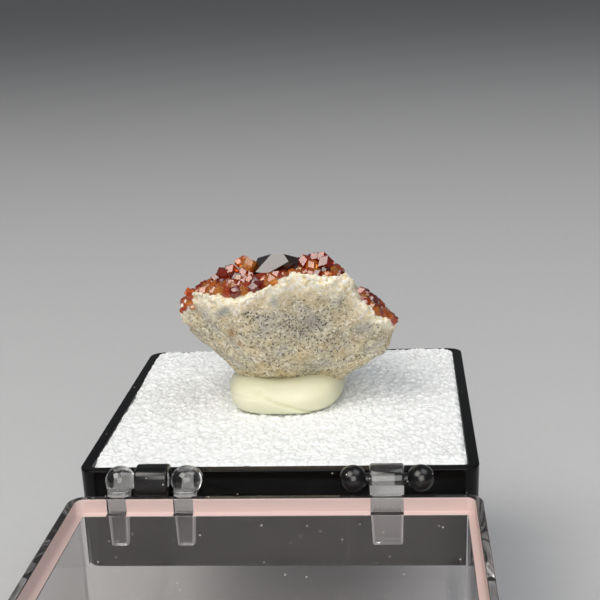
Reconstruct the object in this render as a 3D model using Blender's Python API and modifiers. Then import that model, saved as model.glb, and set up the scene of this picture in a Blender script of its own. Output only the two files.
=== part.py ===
# Garnet on matrix in a hinged thumbnail display box, its clear lid swung down and open.
# Metres, +Z up. The origin is the middle of the tray's underside; the hinge side faces -Y.

import itertools
import math
import random

import bmesh
import bpy
import numpy as np
from mathutils import Euler, Matrix, Vector, noise
from mathutils.bvhtree import BVHTree

MM = 0.001
GAP = 0.3 * MM
SPARE = 10 * MM

# Box: a shallow black tray under a deep clear lid
BOX_SIDE = 31.75 * MM
BOX_CORNER = 1.3 * MM
TRAY_HEIGHT = 8.2 * MM
TRAY_WALL = 0.92 * MM
TRAY_FLOOR = 1.0 * MM
TRAY_DRAFT = 0.2 * MM
LID_HEIGHT = 20.4 * MM
LID_WALL = 1.2 * MM
LID_ROOF = 1.3 * MM
LID_DRAFT = 0.35 * MM
LIP_HEIGHT = 1.15 * MM
LIP_WALL = 0.65 * MM

# Hinge: its axis runs along X outside the front wall
AXIS_OUT = 1.25 * MM
AXIS_DROP = 0.25 * MM
RIM_CLEARANCE = 0.5 * MM
AXIS_Y = -(BOX_SIDE / 2 + AXIS_OUT)
AXIS_Z = TRAY_HEIGHT - AXIS_DROP
BARREL_RADIUS = 1.2 * MM
BARREL_LENGTH = 2.5 * MM
BORE_RADIUS = 0.78 * MM
PIN_RADIUS = 0.45 * MM
PIN_REACH = 0.9 * MM
KNOB_OFFSET = 2.6 * MM
TRAY_KNOB_RADIUS = 1.05 * MM
LID_KNOB_RADIUS = 1.1 * MM
LEFT_HINGE_X = -9.55 * MM
RIGHT_HINGE_X = 8.65 * MM
LEG_LENGTH = 4.7 * MM
LEG_END_THICKNESS = 0.75 * MM
LEG_TOP_THICKNESS = 1.3 * MM
KNOB_LEG_TOP = 1.7 * MM
KNOB_LEG_END = 1.3 * MM
RECESS_DEPTH = 0.35 * MM

# Specimen: stations along X, each giving the rock's section across it
STATION_X = MM * np.array([
    -9.75, -9.2, -8.1, -7.3, -5.5, -4.0, -2.0, 0.0,
    0.9, 2.2, 4.0, 5.3, 5.8, 6.4, 8.2, 9.1, 9.5,
])
BOTTOM_Z = MM * np.array([
    8.2, 6.7, 5.7, 5.0, 3.1, 2.1, 1.75, 1.6,
    1.55, 1.6, 2.0, 2.75, 2.95, 3.2, 4.4, 6.0, 6.9,
])
FRONT_Z = MM * np.array([
    8.7, 9.3, 11.1, 11.1, 10.7, 10.5, 11.5, 12.5,
    13.1, 12.9, 12.4, 12.8, 12.0, 10.4, 8.3, 7.5, 7.2,
])
RIDGE_Z = MM * np.array([
    8.7, 9.4, 9.9, 10.4, 11.2, 11.6, 11.9, 11.8,
    11.7, 11.7, 11.7, 11.2, 10.4, 9.3, 8.1, 7.45, 7.15,
])
BACK_Z = MM * np.array([
    8.6, 8.9, 9.2, 9.4, 9.9, 10.2, 10.5, 10.6,
    10.6, 10.5, 10.2, 9.6, 9.2, 8.7, 7.8, 7.3, 7.1,
])
FRONT_REACH = MM * np.array([
    0.5, 1.8, 2.9, 3.4, 4.3, 4.9, 5.3, 5.4,
    5.4, 5.3, 4.9, 4.5, 4.3, 4.0, 2.9, 1.6, 0.6,
])
BACK_REACH = MM * np.array([
    0.5, 2.0, 3.5, 4.2, 5.5, 6.2, 6.8, 7.0,
    7.0, 6.8, 6.3, 5.6, 5.25, 4.8, 3.2, 1.7, 0.6,
])
SPECIMEN_Y = 0.6 * MM
FOAM_TOP = TRAY_HEIGHT
STATIONS = 34
RING = 32
LUMP_SIZE = 2.2 * MM
LUMP_HEIGHT = 0.24 * MM
PIT_SIZE = 0.9 * MM
PIT_HEIGHT = 0.14 * MM

# Crust: a skin over the rock that the garnets grow together in
SKIN_STEP = 1.05 * MM
SKIN_BELOW = 0.6 * MM
SKIN_ABOVE = 0.62 * MM
CRYSTAL_SPACING = 0.72
CRYSTAL_LIFT = 0.25 * MM

# Putty: a squashed roll between foam and rock
PUTTY_WIDTH = 10.3 * MM
PUTTY_DEPTH = 9.3 * MM
PUTTY_HEIGHT = 2.9 * MM
PUTTY_X = -0.6 * MM

SEED = 7


def clear_scene():
    for obj in list(bpy.data.objects):
        bpy.data.objects.remove(obj, do_unlink=True)


def material(name, colour, roughness, metallic=0.0, transmission=0.0, ior=1.5):
    made = bpy.data.materials.new(name)
    made.use_nodes = True
    shader = made.node_tree.nodes["Principled BSDF"]
    shader.inputs["Base Color"].default_value = (*colour, 1.0)
    shader.inputs["Roughness"].default_value = roughness
    shader.inputs["Metallic"].default_value = metallic
    shader.inputs["Transmission Weight"].default_value = transmission
    shader.inputs["IOR"].default_value = ior
    return made


def collection(name, hidden=False):
    made = bpy.data.collections.new(name)
    made.hide_render = hidden
    bpy.context.scene.collection.children.link(made)
    return made


def object_of(name, bm, home, surface=None):
    bmesh.ops.recalc_face_normals(bm, faces=bm.faces)
    mesh = bpy.data.meshes.new(name)
    bm.to_mesh(mesh)
    bm.free()
    made = bpy.data.objects.new(name, mesh)
    home.objects.link(made)
    if surface:
        mesh.materials.append(surface)
    return made


def as_cutter(obj):
    obj.hide_render = True
    obj.display_type = "WIRE"
    return obj


def boolean(target, other, operation, self_overlap=False):
    step = target.modifiers.new(f"{operation.lower()} {other.name}", "BOOLEAN")
    step.operation = operation
    step.solver = "EXACT"
    step.use_self = self_overlap
    step.object = other
    return step


def settle(obj):
    """Applies the object's modifiers to its mesh."""
    graph = bpy.context.evaluated_depsgraph_get()
    finished = bpy.data.meshes.new_from_object(obj.evaluated_get(graph))
    obj.modifiers.clear()
    old = obj.data
    obj.data = finished
    bpy.data.meshes.remove(old)
    return obj


def box(name, low, high, home, corner=0.0, taper=0.0, surface=None):
    """A box between two corners, its upright edges rounded and its foot drawn in by taper."""
    bm = bmesh.new()
    bmesh.ops.create_cube(bm, size=1.0)
    low, high = Vector(low), Vector(high)
    size, middle = high - low, (high + low) / 2
    for vertex in bm.verts:
        vertex.co = Vector(a * b for a, b in zip(vertex.co, size)) + middle
    if corner:
        upright = [e for e in bm.edges if abs(e.verts[0].co.z - e.verts[1].co.z) > size.z / 2]
        bmesh.ops.bevel(bm, geom=upright, offset=corner, segments=4, profile=0.5, affect="EDGES")
    for vertex in bm.verts:
        if vertex.co.z < middle.z and taper:
            vertex.co.x -= math.copysign(taper, vertex.co.x - middle.x)
            vertex.co.y -= math.copysign(taper, vertex.co.y - middle.y)
    return object_of(name, bm, home, surface)


def cylinder(name, radius, start_x, end_x, home, segments=20):
    """A round bar on the hinge axis between two places along X."""
    bm = bmesh.new()
    turned = Matrix.Rotation(math.pi / 2, 4, "Y")
    placed = Matrix.Translation(((start_x + end_x) / 2, AXIS_Y, AXIS_Z))
    bmesh.ops.create_cone(
        bm, cap_ends=True, segments=segments, radius1=radius, radius2=radius,
        depth=abs(end_x - start_x), matrix=placed @ turned,
    )
    return object_of(name, bm, home)


def ball(name, radius, x, home):
    bm = bmesh.new()
    placed = Matrix.Translation((x, AXIS_Y, AXIS_Z)) @ Matrix.Rotation(math.pi / 2, 4, "Y")
    bmesh.ops.create_uvsphere(bm, u_segments=16, v_segments=10, radius=radius, matrix=placed)
    return object_of(name, bm, home)


def knob(name, radius, x, inward, home):
    """A ball with the pin that turns in the barrel beside it; inward is +1 or -1 along X."""
    round_end = ball(name, radius, x, home)
    tip = x + inward * (KNOB_OFFSET - BARREL_LENGTH / 2 + PIN_REACH)
    pin = as_cutter(cylinder(f"{name} pin", PIN_RADIUS, x, tip, home, segments=14))
    boolean(round_end, pin, "UNION")
    return as_cutter(settle(round_end))


def tray(parts, helpers, surface):
    """The black tray: a hollow box with a barrel at its left hinge and two knobs at its right."""
    half = BOX_SIDE / 2
    shell = box(
        "base_tray", (-half, -half, 0), (half, half, TRAY_HEIGHT), parts, BOX_CORNER, TRAY_DRAFT, surface,
    )
    inner = half - TRAY_WALL
    hollow = box(
        "tray hollow", (-inner, -inner, TRAY_FLOOR), (inner, inner, TRAY_HEIGHT + MM), helpers, 0.6 * MM,
    )
    boolean(shell, as_cutter(hollow), "DIFFERENCE")

    recess_y = -half + RECESS_DEPTH
    barrel_room = BARREL_LENGTH / 2 + GAP
    knob_room = LID_KNOB_RADIUS + GAP
    for middle, reach in (
        (RIGHT_HINGE_X, barrel_room),
        (LEFT_HINGE_X - KNOB_OFFSET, knob_room),
        (LEFT_HINGE_X + KNOB_OFFSET, knob_room),
    ):
        low = (middle - reach, -half - MM, AXIS_Z - BARREL_RADIUS - GAP)
        high = (middle + reach, recess_y, TRAY_HEIGHT + MM)
        boolean(shell, as_cutter(box(f"recess {middle / MM:.1f}", low, high, helpers)), "DIFFERENCE")

    start, end = LEFT_HINGE_X - BARREL_LENGTH / 2, LEFT_HINGE_X + BARREL_LENGTH / 2
    boolean(shell, as_cutter(cylinder("tray barrel", BARREL_RADIUS, start, end, helpers, 12)), "UNION")
    web_low = (start + 0.05 * MM, AXIS_Y, AXIS_Z - 1.1 * MM)
    web_high = (end - 0.05 * MM, -half + 0.5 * MM, AXIS_Z + 0.15 * MM)
    boolean(shell, as_cutter(box("barrel web", web_low, web_high, helpers)), "UNION")
    bore = cylinder("tray bore", BORE_RADIUS, start - 0.2 * MM, end + 0.2 * MM, helpers, 16)
    boolean(shell, as_cutter(bore), "DIFFERENCE")
    for side in (-1, 1):
        x = RIGHT_HINGE_X + side * KNOB_OFFSET
        boolean(shell, knob(f"tray knob {side}", TRAY_KNOB_RADIUS, x, -side, helpers), "UNION")
        arm_low = (x - 0.5 * MM, AXIS_Y, AXIS_Z - 0.7 * MM)
        arm_high = (x + 0.5 * MM, -half + 0.4 * MM, AXIS_Z + 0.1 * MM)
        boolean(shell, as_cutter(box(f"knob arm {side}", arm_low, arm_high, helpers)), "UNION")
    return shell


def leg(name, x, top_width, end_width, wall_y, home):
    """A tapered leg on the lid's wall, from the hinge axis down, thinning to its end."""
    bm = bmesh.new()
    bmesh.ops.create_cube(bm, size=1.0)
    for vertex in bm.verts:
        at_top = vertex.co.z > 0
        width = top_width if at_top else end_width
        thickness = LEG_TOP_THICKNESS if at_top else LEG_END_THICKNESS
        toward_tray = vertex.co.y > 0
        vertex.co.x = x + math.copysign(width / 2, vertex.co.x)
        vertex.co.y = wall_y + (thickness if toward_tray else -0.4 * MM)
        vertex.co.z = AXIS_Z - (0.4 * MM if at_top else LEG_LENGTH)
    return as_cutter(object_of(name, bm, home))


def lid(parts, helpers, surface):
    """The clear lid, mouth up, hanging open in front of the tray, on legs that meet the hinge axis."""
    half = BOX_SIDE / 2
    back_y = AXIS_Y - AXIS_OUT
    middle_y = back_y - half
    rim_z = AXIS_Z - AXIS_DROP - RIM_CLEARANCE
    foot_z = rim_z - LID_HEIGHT

    hinge = bpy.data.objects.new("lid_hinge_axis", None)
    hinge.location = (0, AXIS_Y, AXIS_Z)
    parts.objects.link(hinge)

    shell = box(
        "lid", (-half, middle_y - half, foot_z), (half, middle_y + half, rim_z),
        parts, BOX_CORNER, LID_DRAFT, surface,
    )
    inner = half - LID_WALL
    hollow = box(
        "lid hollow", (-inner, middle_y - inner, foot_z + LID_ROOF), (inner, middle_y + inner, rim_z + MM),
        helpers, 0.9 * MM, LID_DRAFT,
    )
    boolean(shell, as_cutter(hollow), "DIFFERENCE")
    lip = half - LIP_WALL
    rabbet = box(
        "lid rabbet", (-lip, middle_y - lip, rim_z - LIP_HEIGHT), (lip, middle_y + lip, rim_z + MM),
        helpers, 1.1 * MM,
    )
    boolean(shell, as_cutter(rabbet), "DIFFERENCE")

    barrel_start = RIGHT_HINGE_X - BARREL_LENGTH / 2
    barrel_end = RIGHT_HINGE_X + BARREL_LENGTH / 2
    boolean(shell, leg("strap", RIGHT_HINGE_X, 2.4 * MM, 2.3 * MM, back_y, helpers), "UNION")
    barrel = cylinder("lid barrel", BARREL_RADIUS, barrel_start, barrel_end, helpers)
    boolean(shell, as_cutter(barrel), "UNION")
    bore = cylinder("lid bore", BORE_RADIUS, barrel_start - 0.2 * MM, barrel_end + 0.2 * MM, helpers, 16)
    boolean(shell, as_cutter(bore), "DIFFERENCE")
    for side in (-1, 1):
        x = LEFT_HINGE_X + side * KNOB_OFFSET
        boolean(shell, leg(f"knob leg {side}", x, KNOB_LEG_TOP, KNOB_LEG_END, back_y, helpers), "UNION")
        boolean(shell, knob(f"lid knob {side}", LID_KNOB_RADIUS, x, -side, helpers), "UNION")
    settle(shell)
    shell.data.transform(Matrix.Translation((0, -AXIS_Y, -AXIS_Z)))
    shell.parent = hinge
    return shell


def foam(parts, surface):
    """The foam block that fills the tray, flush with its rim."""
    half = BOX_SIDE / 2 - TRAY_WALL - GAP
    low = (-half, -half, TRAY_FLOOR + GAP)
    block = box("foam_block", low, (half, half, FOAM_TOP), parts, 0.5 * MM, surface=surface)
    soft = block.modifiers.new("worn edges", "BEVEL")
    soft.width = 0.25 * MM
    soft.segments = 2
    soft.limit_method = "ANGLE"
    return block


def putty(parts, helpers, surface, rock_room):
    """A squashed roll of putty: an oval cushion with a fold across it, hollowed where the rock sits."""
    bm = bmesh.new()
    bmesh.ops.create_uvsphere(bm, u_segments=26, v_segments=14, radius=1.0)
    for vertex in bm.verts:
        across, deep, up = vertex.co
        angle = math.atan2(deep, across)
        squash = math.copysign(abs(up) ** 0.8, up)
        swell = 1 + 0.03 * math.sin(3 * angle + 0.6) + 0.02 * math.sin(5 * angle)
        fold = 0.05 * math.exp(-(((across * 0.8 + up * 0.9 - 0.1) / 0.16) ** 2)) * (deep < 0)
        vertex.co.x = PUTTY_X + across * (swell - fold) * PUTTY_WIDTH / 2
        vertex.co.y = SPECIMEN_Y + deep * (swell - fold) * PUTTY_DEPTH / 2
        vertex.co.z = FOAM_TOP + GAP + PUTTY_HEIGHT * (0.5 + 0.72 * squash)
    made = object_of("putty", bm, parts, surface)
    low = (-SPARE, -SPARE, FOAM_TOP - SPARE)
    below = box("putty foot", low, (SPARE, SPARE, FOAM_TOP + GAP), helpers)
    boolean(made, as_cutter(below), "DIFFERENCE")
    boolean(made, rock_room, "DIFFERENCE")
    return made


def rock_surface(name, home, outset=0.0, surface=None):
    """The matrix, lofted along X through its stations, with lumps and pits pushed in or out."""
    x = np.linspace(STATION_X[0], STATION_X[-1], STATIONS)
    ease = 0.5 - 0.5 * np.cos(np.linspace(0, np.pi, STATIONS))
    x = 0.5 * x + 0.5 * (STATION_X[0] + ease * (STATION_X[-1] - STATION_X[0]))
    heights = (BOTTOM_Z, FRONT_Z, RIDGE_Z, BACK_Z)
    bottom, front, ridge, back = (np.interp(x, STATION_X, row) for row in heights)
    reach_front, reach_back = (np.interp(x, STATION_X, row) for row in (FRONT_REACH, BACK_REACH))
    rows = []
    quarter = RING // 4
    for i in range(STATIONS):
        sweep = np.linspace(0, 1, quarter, endpoint=False)
        lean = np.sin(sweep * np.pi / 2) ** 1.15
        rise = 1 - np.cos(sweep * np.pi / 2) ** 1.3
        front_y = -reach_front[i] * lean
        front_z = bottom[i] + (front[i] - bottom[i]) * rise
        across = np.linspace(0, 1, quarter, endpoint=False)
        top_front_y = -reach_front[i] * (1 - across)
        top_front_z = front[i] + (ridge[i] - front[i]) * np.sin(across * np.pi / 2)
        top_back_y = reach_back[i] * across
        top_back_z = ridge[i] + (back[i] - ridge[i]) * across ** 1.8
        back_y = reach_back[i] * np.cos(sweep * np.pi / 2) ** 1.1
        back_z = back[i] + (bottom[i] - back[i]) * np.sin(sweep * np.pi / 2) ** 1.2
        ring_y = np.concatenate([front_y, top_front_y, top_back_y, back_y])
        ring_z = np.concatenate([front_z, top_front_z, top_back_z, back_z])
        rows.append(np.stack([np.full(RING, x[i]), ring_y + SPECIMEN_Y, ring_z + FOAM_TOP], axis=1))
    bm = bmesh.new()
    rings = [[bm.verts.new(point) for point in row] for row in rows]
    for near, far in zip(rings, rings[1:]):
        for j in range(RING):
            k = (j + 1) % RING
            bm.faces.new((near[j], near[k], far[k], far[j]))
    bm.faces.new(rings[0])
    bm.faces.new(list(reversed(rings[-1])))
    bmesh.ops.recalc_face_normals(bm, faces=bm.faces)
    bm.normal_update()
    pushes = []
    for vertex in bm.verts:
        lump = noise.noise(vertex.co / LUMP_SIZE)
        pit = noise.noise(vertex.co / PIT_SIZE + Vector((31, 7, 3)))
        push = LUMP_HEIGHT * lump * 2 + PIT_HEIGHT * pit * 2 + outset
        pushes.append((vertex, vertex.co + vertex.normal * push))
    for vertex, place in pushes:
        vertex.co = place
    return object_of(name, bm, home, surface)


def crystal_corners(dodecahedron, trapezohedron):
    """Corners of a garnet bounded by 12 rhomb faces and 24 kite faces at these distances."""
    planes = []
    for first, second in itertools.combinations(range(3), 2):
        for signs in itertools.product((1, -1), repeat=2):
            normal = np.zeros(3)
            normal[first], normal[second] = signs
            planes.append((normal / math.sqrt(2), dodecahedron))
    for double in range(3):
        for signs in itertools.product((1, -1), repeat=3):
            normal = np.array(signs, float)
            normal[double] *= 2
            planes.append((normal / math.sqrt(6), trapezohedron))
    normals = np.array([normal for normal, _ in planes])
    reach = np.array([distance for _, distance in planes])
    picks = np.array(list(itertools.combinations(range(len(planes)), 3)))
    systems = normals[picks]
    solid = np.abs(np.linalg.det(systems)) > 1e-6
    corners = np.linalg.solve(systems[solid], reach[picks[solid]][..., None])[..., 0]
    inside = (corners @ normals.T <= reach + 1e-7).all(axis=1)
    return np.unique(np.round(corners[inside], 6), axis=0)


def turn_facing(normal, long_axis):
    """The turn that points one rhomb face along normal, its long diagonal along long_axis."""
    out = Vector(normal).normalized()
    along = Vector(long_axis)
    along = (along - out * along.dot(out)).normalized()
    half = math.sqrt(0.5)
    rhomb = Matrix(((half, half, 0), (half, -half, 0), (0, 0, -1)))
    return (Matrix((out, along, out.cross(along))).transposed() @ rhomb).to_euler()


MAIN_TURN = turn_facing((-0.18, -0.78, 0.60), (0.80, 0.15, 0.50))
RHOMBIC = crystal_corners(1.0, 1.3)
MIXED = crystal_corners(1.0, 1.045)
KITED = crystal_corners(1.3, 1.0)


def add_crystal(bm, corners, centre, radius, turn):
    """Adds one garnet as the convex hull of its corners."""
    shape = turn.to_matrix()
    made = [bm.verts.new(Vector(centre) + radius * (shape @ Vector(corner))) for corner in corners]
    found = bmesh.ops.convex_hull(bm, input=made, use_existing_faces=False)
    loose = [g for g in found["geom_unused"] + found["geom_interior"] if isinstance(g, bmesh.types.BMVert)]
    bmesh.ops.delete(bm, geom=list(set(loose)), context="VERTS")


def sheet_over(tree, name, places, low, high, home):
    """A closed skin over the rock between two heights, on a grid of places in X and Y."""
    bm = bmesh.new()
    grid = {}
    for key, (x, y) in places.items():
        hit = tree.ray_cast(Vector((x, y, 1)), Vector((0, 0, -1)))[0]
        if hit is not None:
            grid[key] = (bm.verts.new(hit + Vector((0, 0, low))), bm.verts.new(hit + Vector((0, 0, high))))
    for i, j in list(grid):
        square = [(i, j), (i + 1, j), (i + 1, j + 1), (i, j + 1)]
        if all(corner in grid for corner in square):
            bm.faces.new([grid[corner][1] for corner in square])
            bm.faces.new([grid[corner][0] for corner in reversed(square)])
    below = {top: foot for foot, top in grid.values()}
    for edge in [e for e in bm.edges if e.is_boundary and e.verts[0] in below]:
        start, end = edge.verts
        bm.faces.new((start, end, below[end], below[start]))
    bmesh.ops.delete(bm, geom=[v for v in bm.verts if not v.link_faces], context="VERTS")
    return object_of(name, bm, home)


def garnet_patch(name, region, heroes, count, sizes, tree, rock_room, parts, helpers, surface):
    """Grown-together garnets on one stretch of the rock, in one solid.

    region(x, y) is above zero inside the patch; heroes are single crystals set by hand.
    """
    draw = random.Random(f"{name}{SEED}")
    span = np.arange(-11, 12)
    places = {
        (int(i), int(j)): (i * SKIN_STEP, j * SKIN_STEP + SPECIMEN_Y)
        for i in span for j in span if region(i * SKIN_STEP / MM, (j * SKIN_STEP + SPECIMEN_Y) / MM) > 0
    }
    skin = sheet_over(tree, name, places, -SKIN_BELOW, SKIN_ABOVE, parts)
    skin.data.materials.append(surface)
    bm = bmesh.new()
    for corners, centre, radius, turn in heroes:
        add_crystal(bm, corners, Vector(centre) * MM, radius * MM, Euler(turn))
    spots = [(Vector(hero[1]).xy * MM, hero[2] * MM) for hero in heroes]
    kinds = (RHOMBIC, MIXED, KITED)
    tries = 0
    placed = 0
    inside = list(places.values())
    while placed < count and tries < count * 30:
        tries += 1
        x, y = draw.choice(inside)
        x += draw.uniform(-0.5, 0.5) * SKIN_STEP
        y += draw.uniform(-0.5, 0.5) * SKIN_STEP
        radius = draw.uniform(*sizes) * MM
        near = [(Vector((x, y)) - spot).length < CRYSTAL_SPACING * (radius + other) for spot, other in spots]
        if any(near):
            continue
        hit = tree.ray_cast(Vector((x, y, 1)), Vector((0, 0, -1)))[0]
        if hit is None:
            continue
        turn = Euler([draw.uniform(0, math.pi) for _ in range(3)])
        centre = hit + Vector((0, 0, 0.4 * radius + CRYSTAL_LIFT))
        add_crystal(bm, draw.choice(kinds), centre, radius, turn)
        spots.append((Vector((x, y)), radius))
        placed += 1
    crystals = as_cutter(object_of(f"{name} crystals", bm, helpers))
    boolean(skin, crystals, "UNION", self_overlap=True)
    boolean(skin, rock_room, "DIFFERENCE")
    settle(skin)
    keep_largest(skin)
    return skin


def keep_largest(obj):
    """Drops crumbs that the rock cuts off from the patch."""
    bm = bmesh.new()
    bm.from_mesh(obj.data)
    bmesh.ops.remove_doubles(bm, verts=bm.verts, dist=1e-6)
    left = set(bm.faces)
    bodies = []
    while left:
        front = [left.pop()]
        body = list(front)
        while front:
            face = front.pop()
            for edge in face.edges:
                for other in edge.link_faces:
                    if other in left:
                        left.remove(other)
                        front.append(other)
                        body.append(other)
        bodies.append(body)
    largest = max(bodies, key=lambda body: sum(face.calc_area() for face in body))
    spare = [face for body in bodies if body is not largest for face in body]
    bmesh.ops.delete(bm, geom=spare, context="FACES")
    bm.to_mesh(obj.data)
    bm.free()


def top_region(x, y):
    """The crust on the crown: it starts behind the white front rim and reaches down the left shoulder."""
    front_x = [-8.0, -6.5, -4.6, -3.4, -1.0, 0.2, 2.0, 4.8]
    front = np.interp(x, front_x, [-0.4, -1.3, -3.3, -3.1, -3.0, -2.2, -1.8, -1.4])
    back = np.interp(x, [-8.0, -5.0, 0.0, 4.8], [3.0, 5.6, 6.6, 5.6])
    return min(x + 7.9, 4.6 - x, y - front, back - y)


def right_region(x, y):
    """The crust that runs down the right shoulder to the tip."""
    front = np.interp(x, [6.1, 7.5, 9.3], [-1.6, -1.9, -0.6])
    return min(x - 6.0, 9.25 - x, y - front, 4.4 - 0.9 * (x - 6.0) - y)


def left_region(x, y):
    """The few crystals round the left tip."""
    return min(x + 9.55, -8.35 - x, y + 1.0, 2.6 - y)


def heroes_top():
    """The large crystals of the crown: habit, centre and radius in millimetres, and turn."""
    top = FOAM_TOP / MM
    return [
        (RHOMBIC, (-1.0, -0.1, top + 12.2), 1.5, MAIN_TURN),
        (MIXED, (3.15, -0.6, top + 12.45), 0.95, (0.3, 0.75, 0.2)),
        (RHOMBIC, (2.0, 0.1, top + 12.2), 0.75, (0.9, 0.2, 0.6)),
        (RHOMBIC, (-3.6, 0.1, top + 12.2), 0.8, (0.2, 0.5, 0.9)),
        (KITED, (-4.9, -0.6, top + 11.7), 0.75, (0.7, 0.1, 0.3)),
        (MIXED, (-6.0, 0.3, top + 11.4), 0.7, (0.1, 0.4, 1.2)),
        (RHOMBIC, (-2.7, -2.6, top + 11.6), 0.65, (0.6, 0.9, 0.1)),
        (MIXED, (-4.0, -3.0, top + 11.1), 0.65, (1.1, 0.3, 0.4)),
    ]


def main():
    clear_scene()
    parts = collection("garnet_on_matrix")
    helpers = collection("cutters", hidden=True)
    black = material("black polystyrene", (0.012, 0.012, 0.013), 0.12)
    clear = material("clear polystyrene", (1.0, 0.98, 0.98), 0.03, transmission=1.0, ior=1.59)
    bead_foam = material("white beaded foam", (0.86, 0.88, 0.88), 0.75)
    soft_putty = material("cream putty", (0.76, 0.76, 0.56), 0.55)
    rock = material("pale feldspar rock", (0.52, 0.46, 0.38), 0.85)
    garnet = material("orange red garnet", (0.45, 0.07, 0.02), 0.08, transmission=0.7, ior=1.8)

    tray(parts, helpers, black)
    foam(parts, bead_foam)
    lid(parts, helpers, clear)
    matrix = rock_surface("matrix", parts, surface=rock)
    rock_room = as_cutter(rock_surface("rock room", helpers, outset=GAP))
    putty(parts, helpers, soft_putty, rock_room)

    bm = bmesh.new()
    bm.from_mesh(matrix.data)
    tree = BVHTree.FromBMesh(bm)
    bm.free()
    patch = (tree, rock_room, parts, helpers, garnet)
    garnet_patch("garnets_top", top_region, heroes_top(), 33, (0.38, 0.68), *patch)
    garnet_patch("garnets_right", right_region, [], 9, (0.3, 0.46), *patch)
    garnet_patch("garnets_left", left_region, [], 4, (0.3, 0.45), *patch)


main()
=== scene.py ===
"""Garnet on matrix in a hinged thumbnail display box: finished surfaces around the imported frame."""

import itertools
import logging
import math
from dataclasses import dataclass
from enum import Enum

import bpy
import numpy as np
from mathutils import Matrix, Vector

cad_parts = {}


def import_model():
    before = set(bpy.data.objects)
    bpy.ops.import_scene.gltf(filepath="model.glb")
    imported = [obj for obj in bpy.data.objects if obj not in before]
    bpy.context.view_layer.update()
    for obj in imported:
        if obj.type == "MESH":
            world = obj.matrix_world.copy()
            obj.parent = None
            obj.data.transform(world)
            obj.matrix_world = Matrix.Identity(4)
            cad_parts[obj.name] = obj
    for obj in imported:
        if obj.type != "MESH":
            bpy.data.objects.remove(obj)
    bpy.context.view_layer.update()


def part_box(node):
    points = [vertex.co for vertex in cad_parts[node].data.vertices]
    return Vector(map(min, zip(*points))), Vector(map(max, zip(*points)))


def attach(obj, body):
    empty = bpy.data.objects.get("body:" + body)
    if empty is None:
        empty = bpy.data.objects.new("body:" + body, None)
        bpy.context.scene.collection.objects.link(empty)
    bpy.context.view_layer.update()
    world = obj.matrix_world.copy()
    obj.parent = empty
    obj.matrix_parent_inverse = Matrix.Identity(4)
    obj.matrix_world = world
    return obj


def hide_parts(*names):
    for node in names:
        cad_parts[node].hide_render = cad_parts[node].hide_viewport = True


MM = 0.001
LOG = logging.getLogger("garnet_on_matrix")

Array = np.ndarray
Pair = tuple[float, float]
Spot = tuple[float, float, float]
Piece = bpy.types.Object
Socket = bpy.types.NodeSocket
Shell = tuple[Array, list[Array]]
STYRENE_IOR = 1.59
SHARPEST = 0.05 * MM
CORNER_POINTS = 8
SIDE_POINTS = 6
TOWARDS_LIGHT = (-0.18, -0.78, 0.60)


def linear(colour: str, alpha: float = 1.0) -> tuple[float, float, float, float]:
    """Turns an sRGB hex colour into linear light.

    Args:
        colour: six hex digits.
        alpha: the fourth value.

    Returns:
        Red, green, blue and alpha.
    """
    channels = [int(colour[i : i + 2], 16) / 255 for i in (0, 2, 4)]
    lit = [c / 12.92 if c <= 0.04045 else ((c + 0.055) / 1.055) ** 2.4 for c in channels]
    return (*lit, alpha)


def per(size_mm: float) -> float:
    """The texture scale at which one feature is this many millimetres wide."""
    return 1 / (size_mm * MM)


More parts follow.
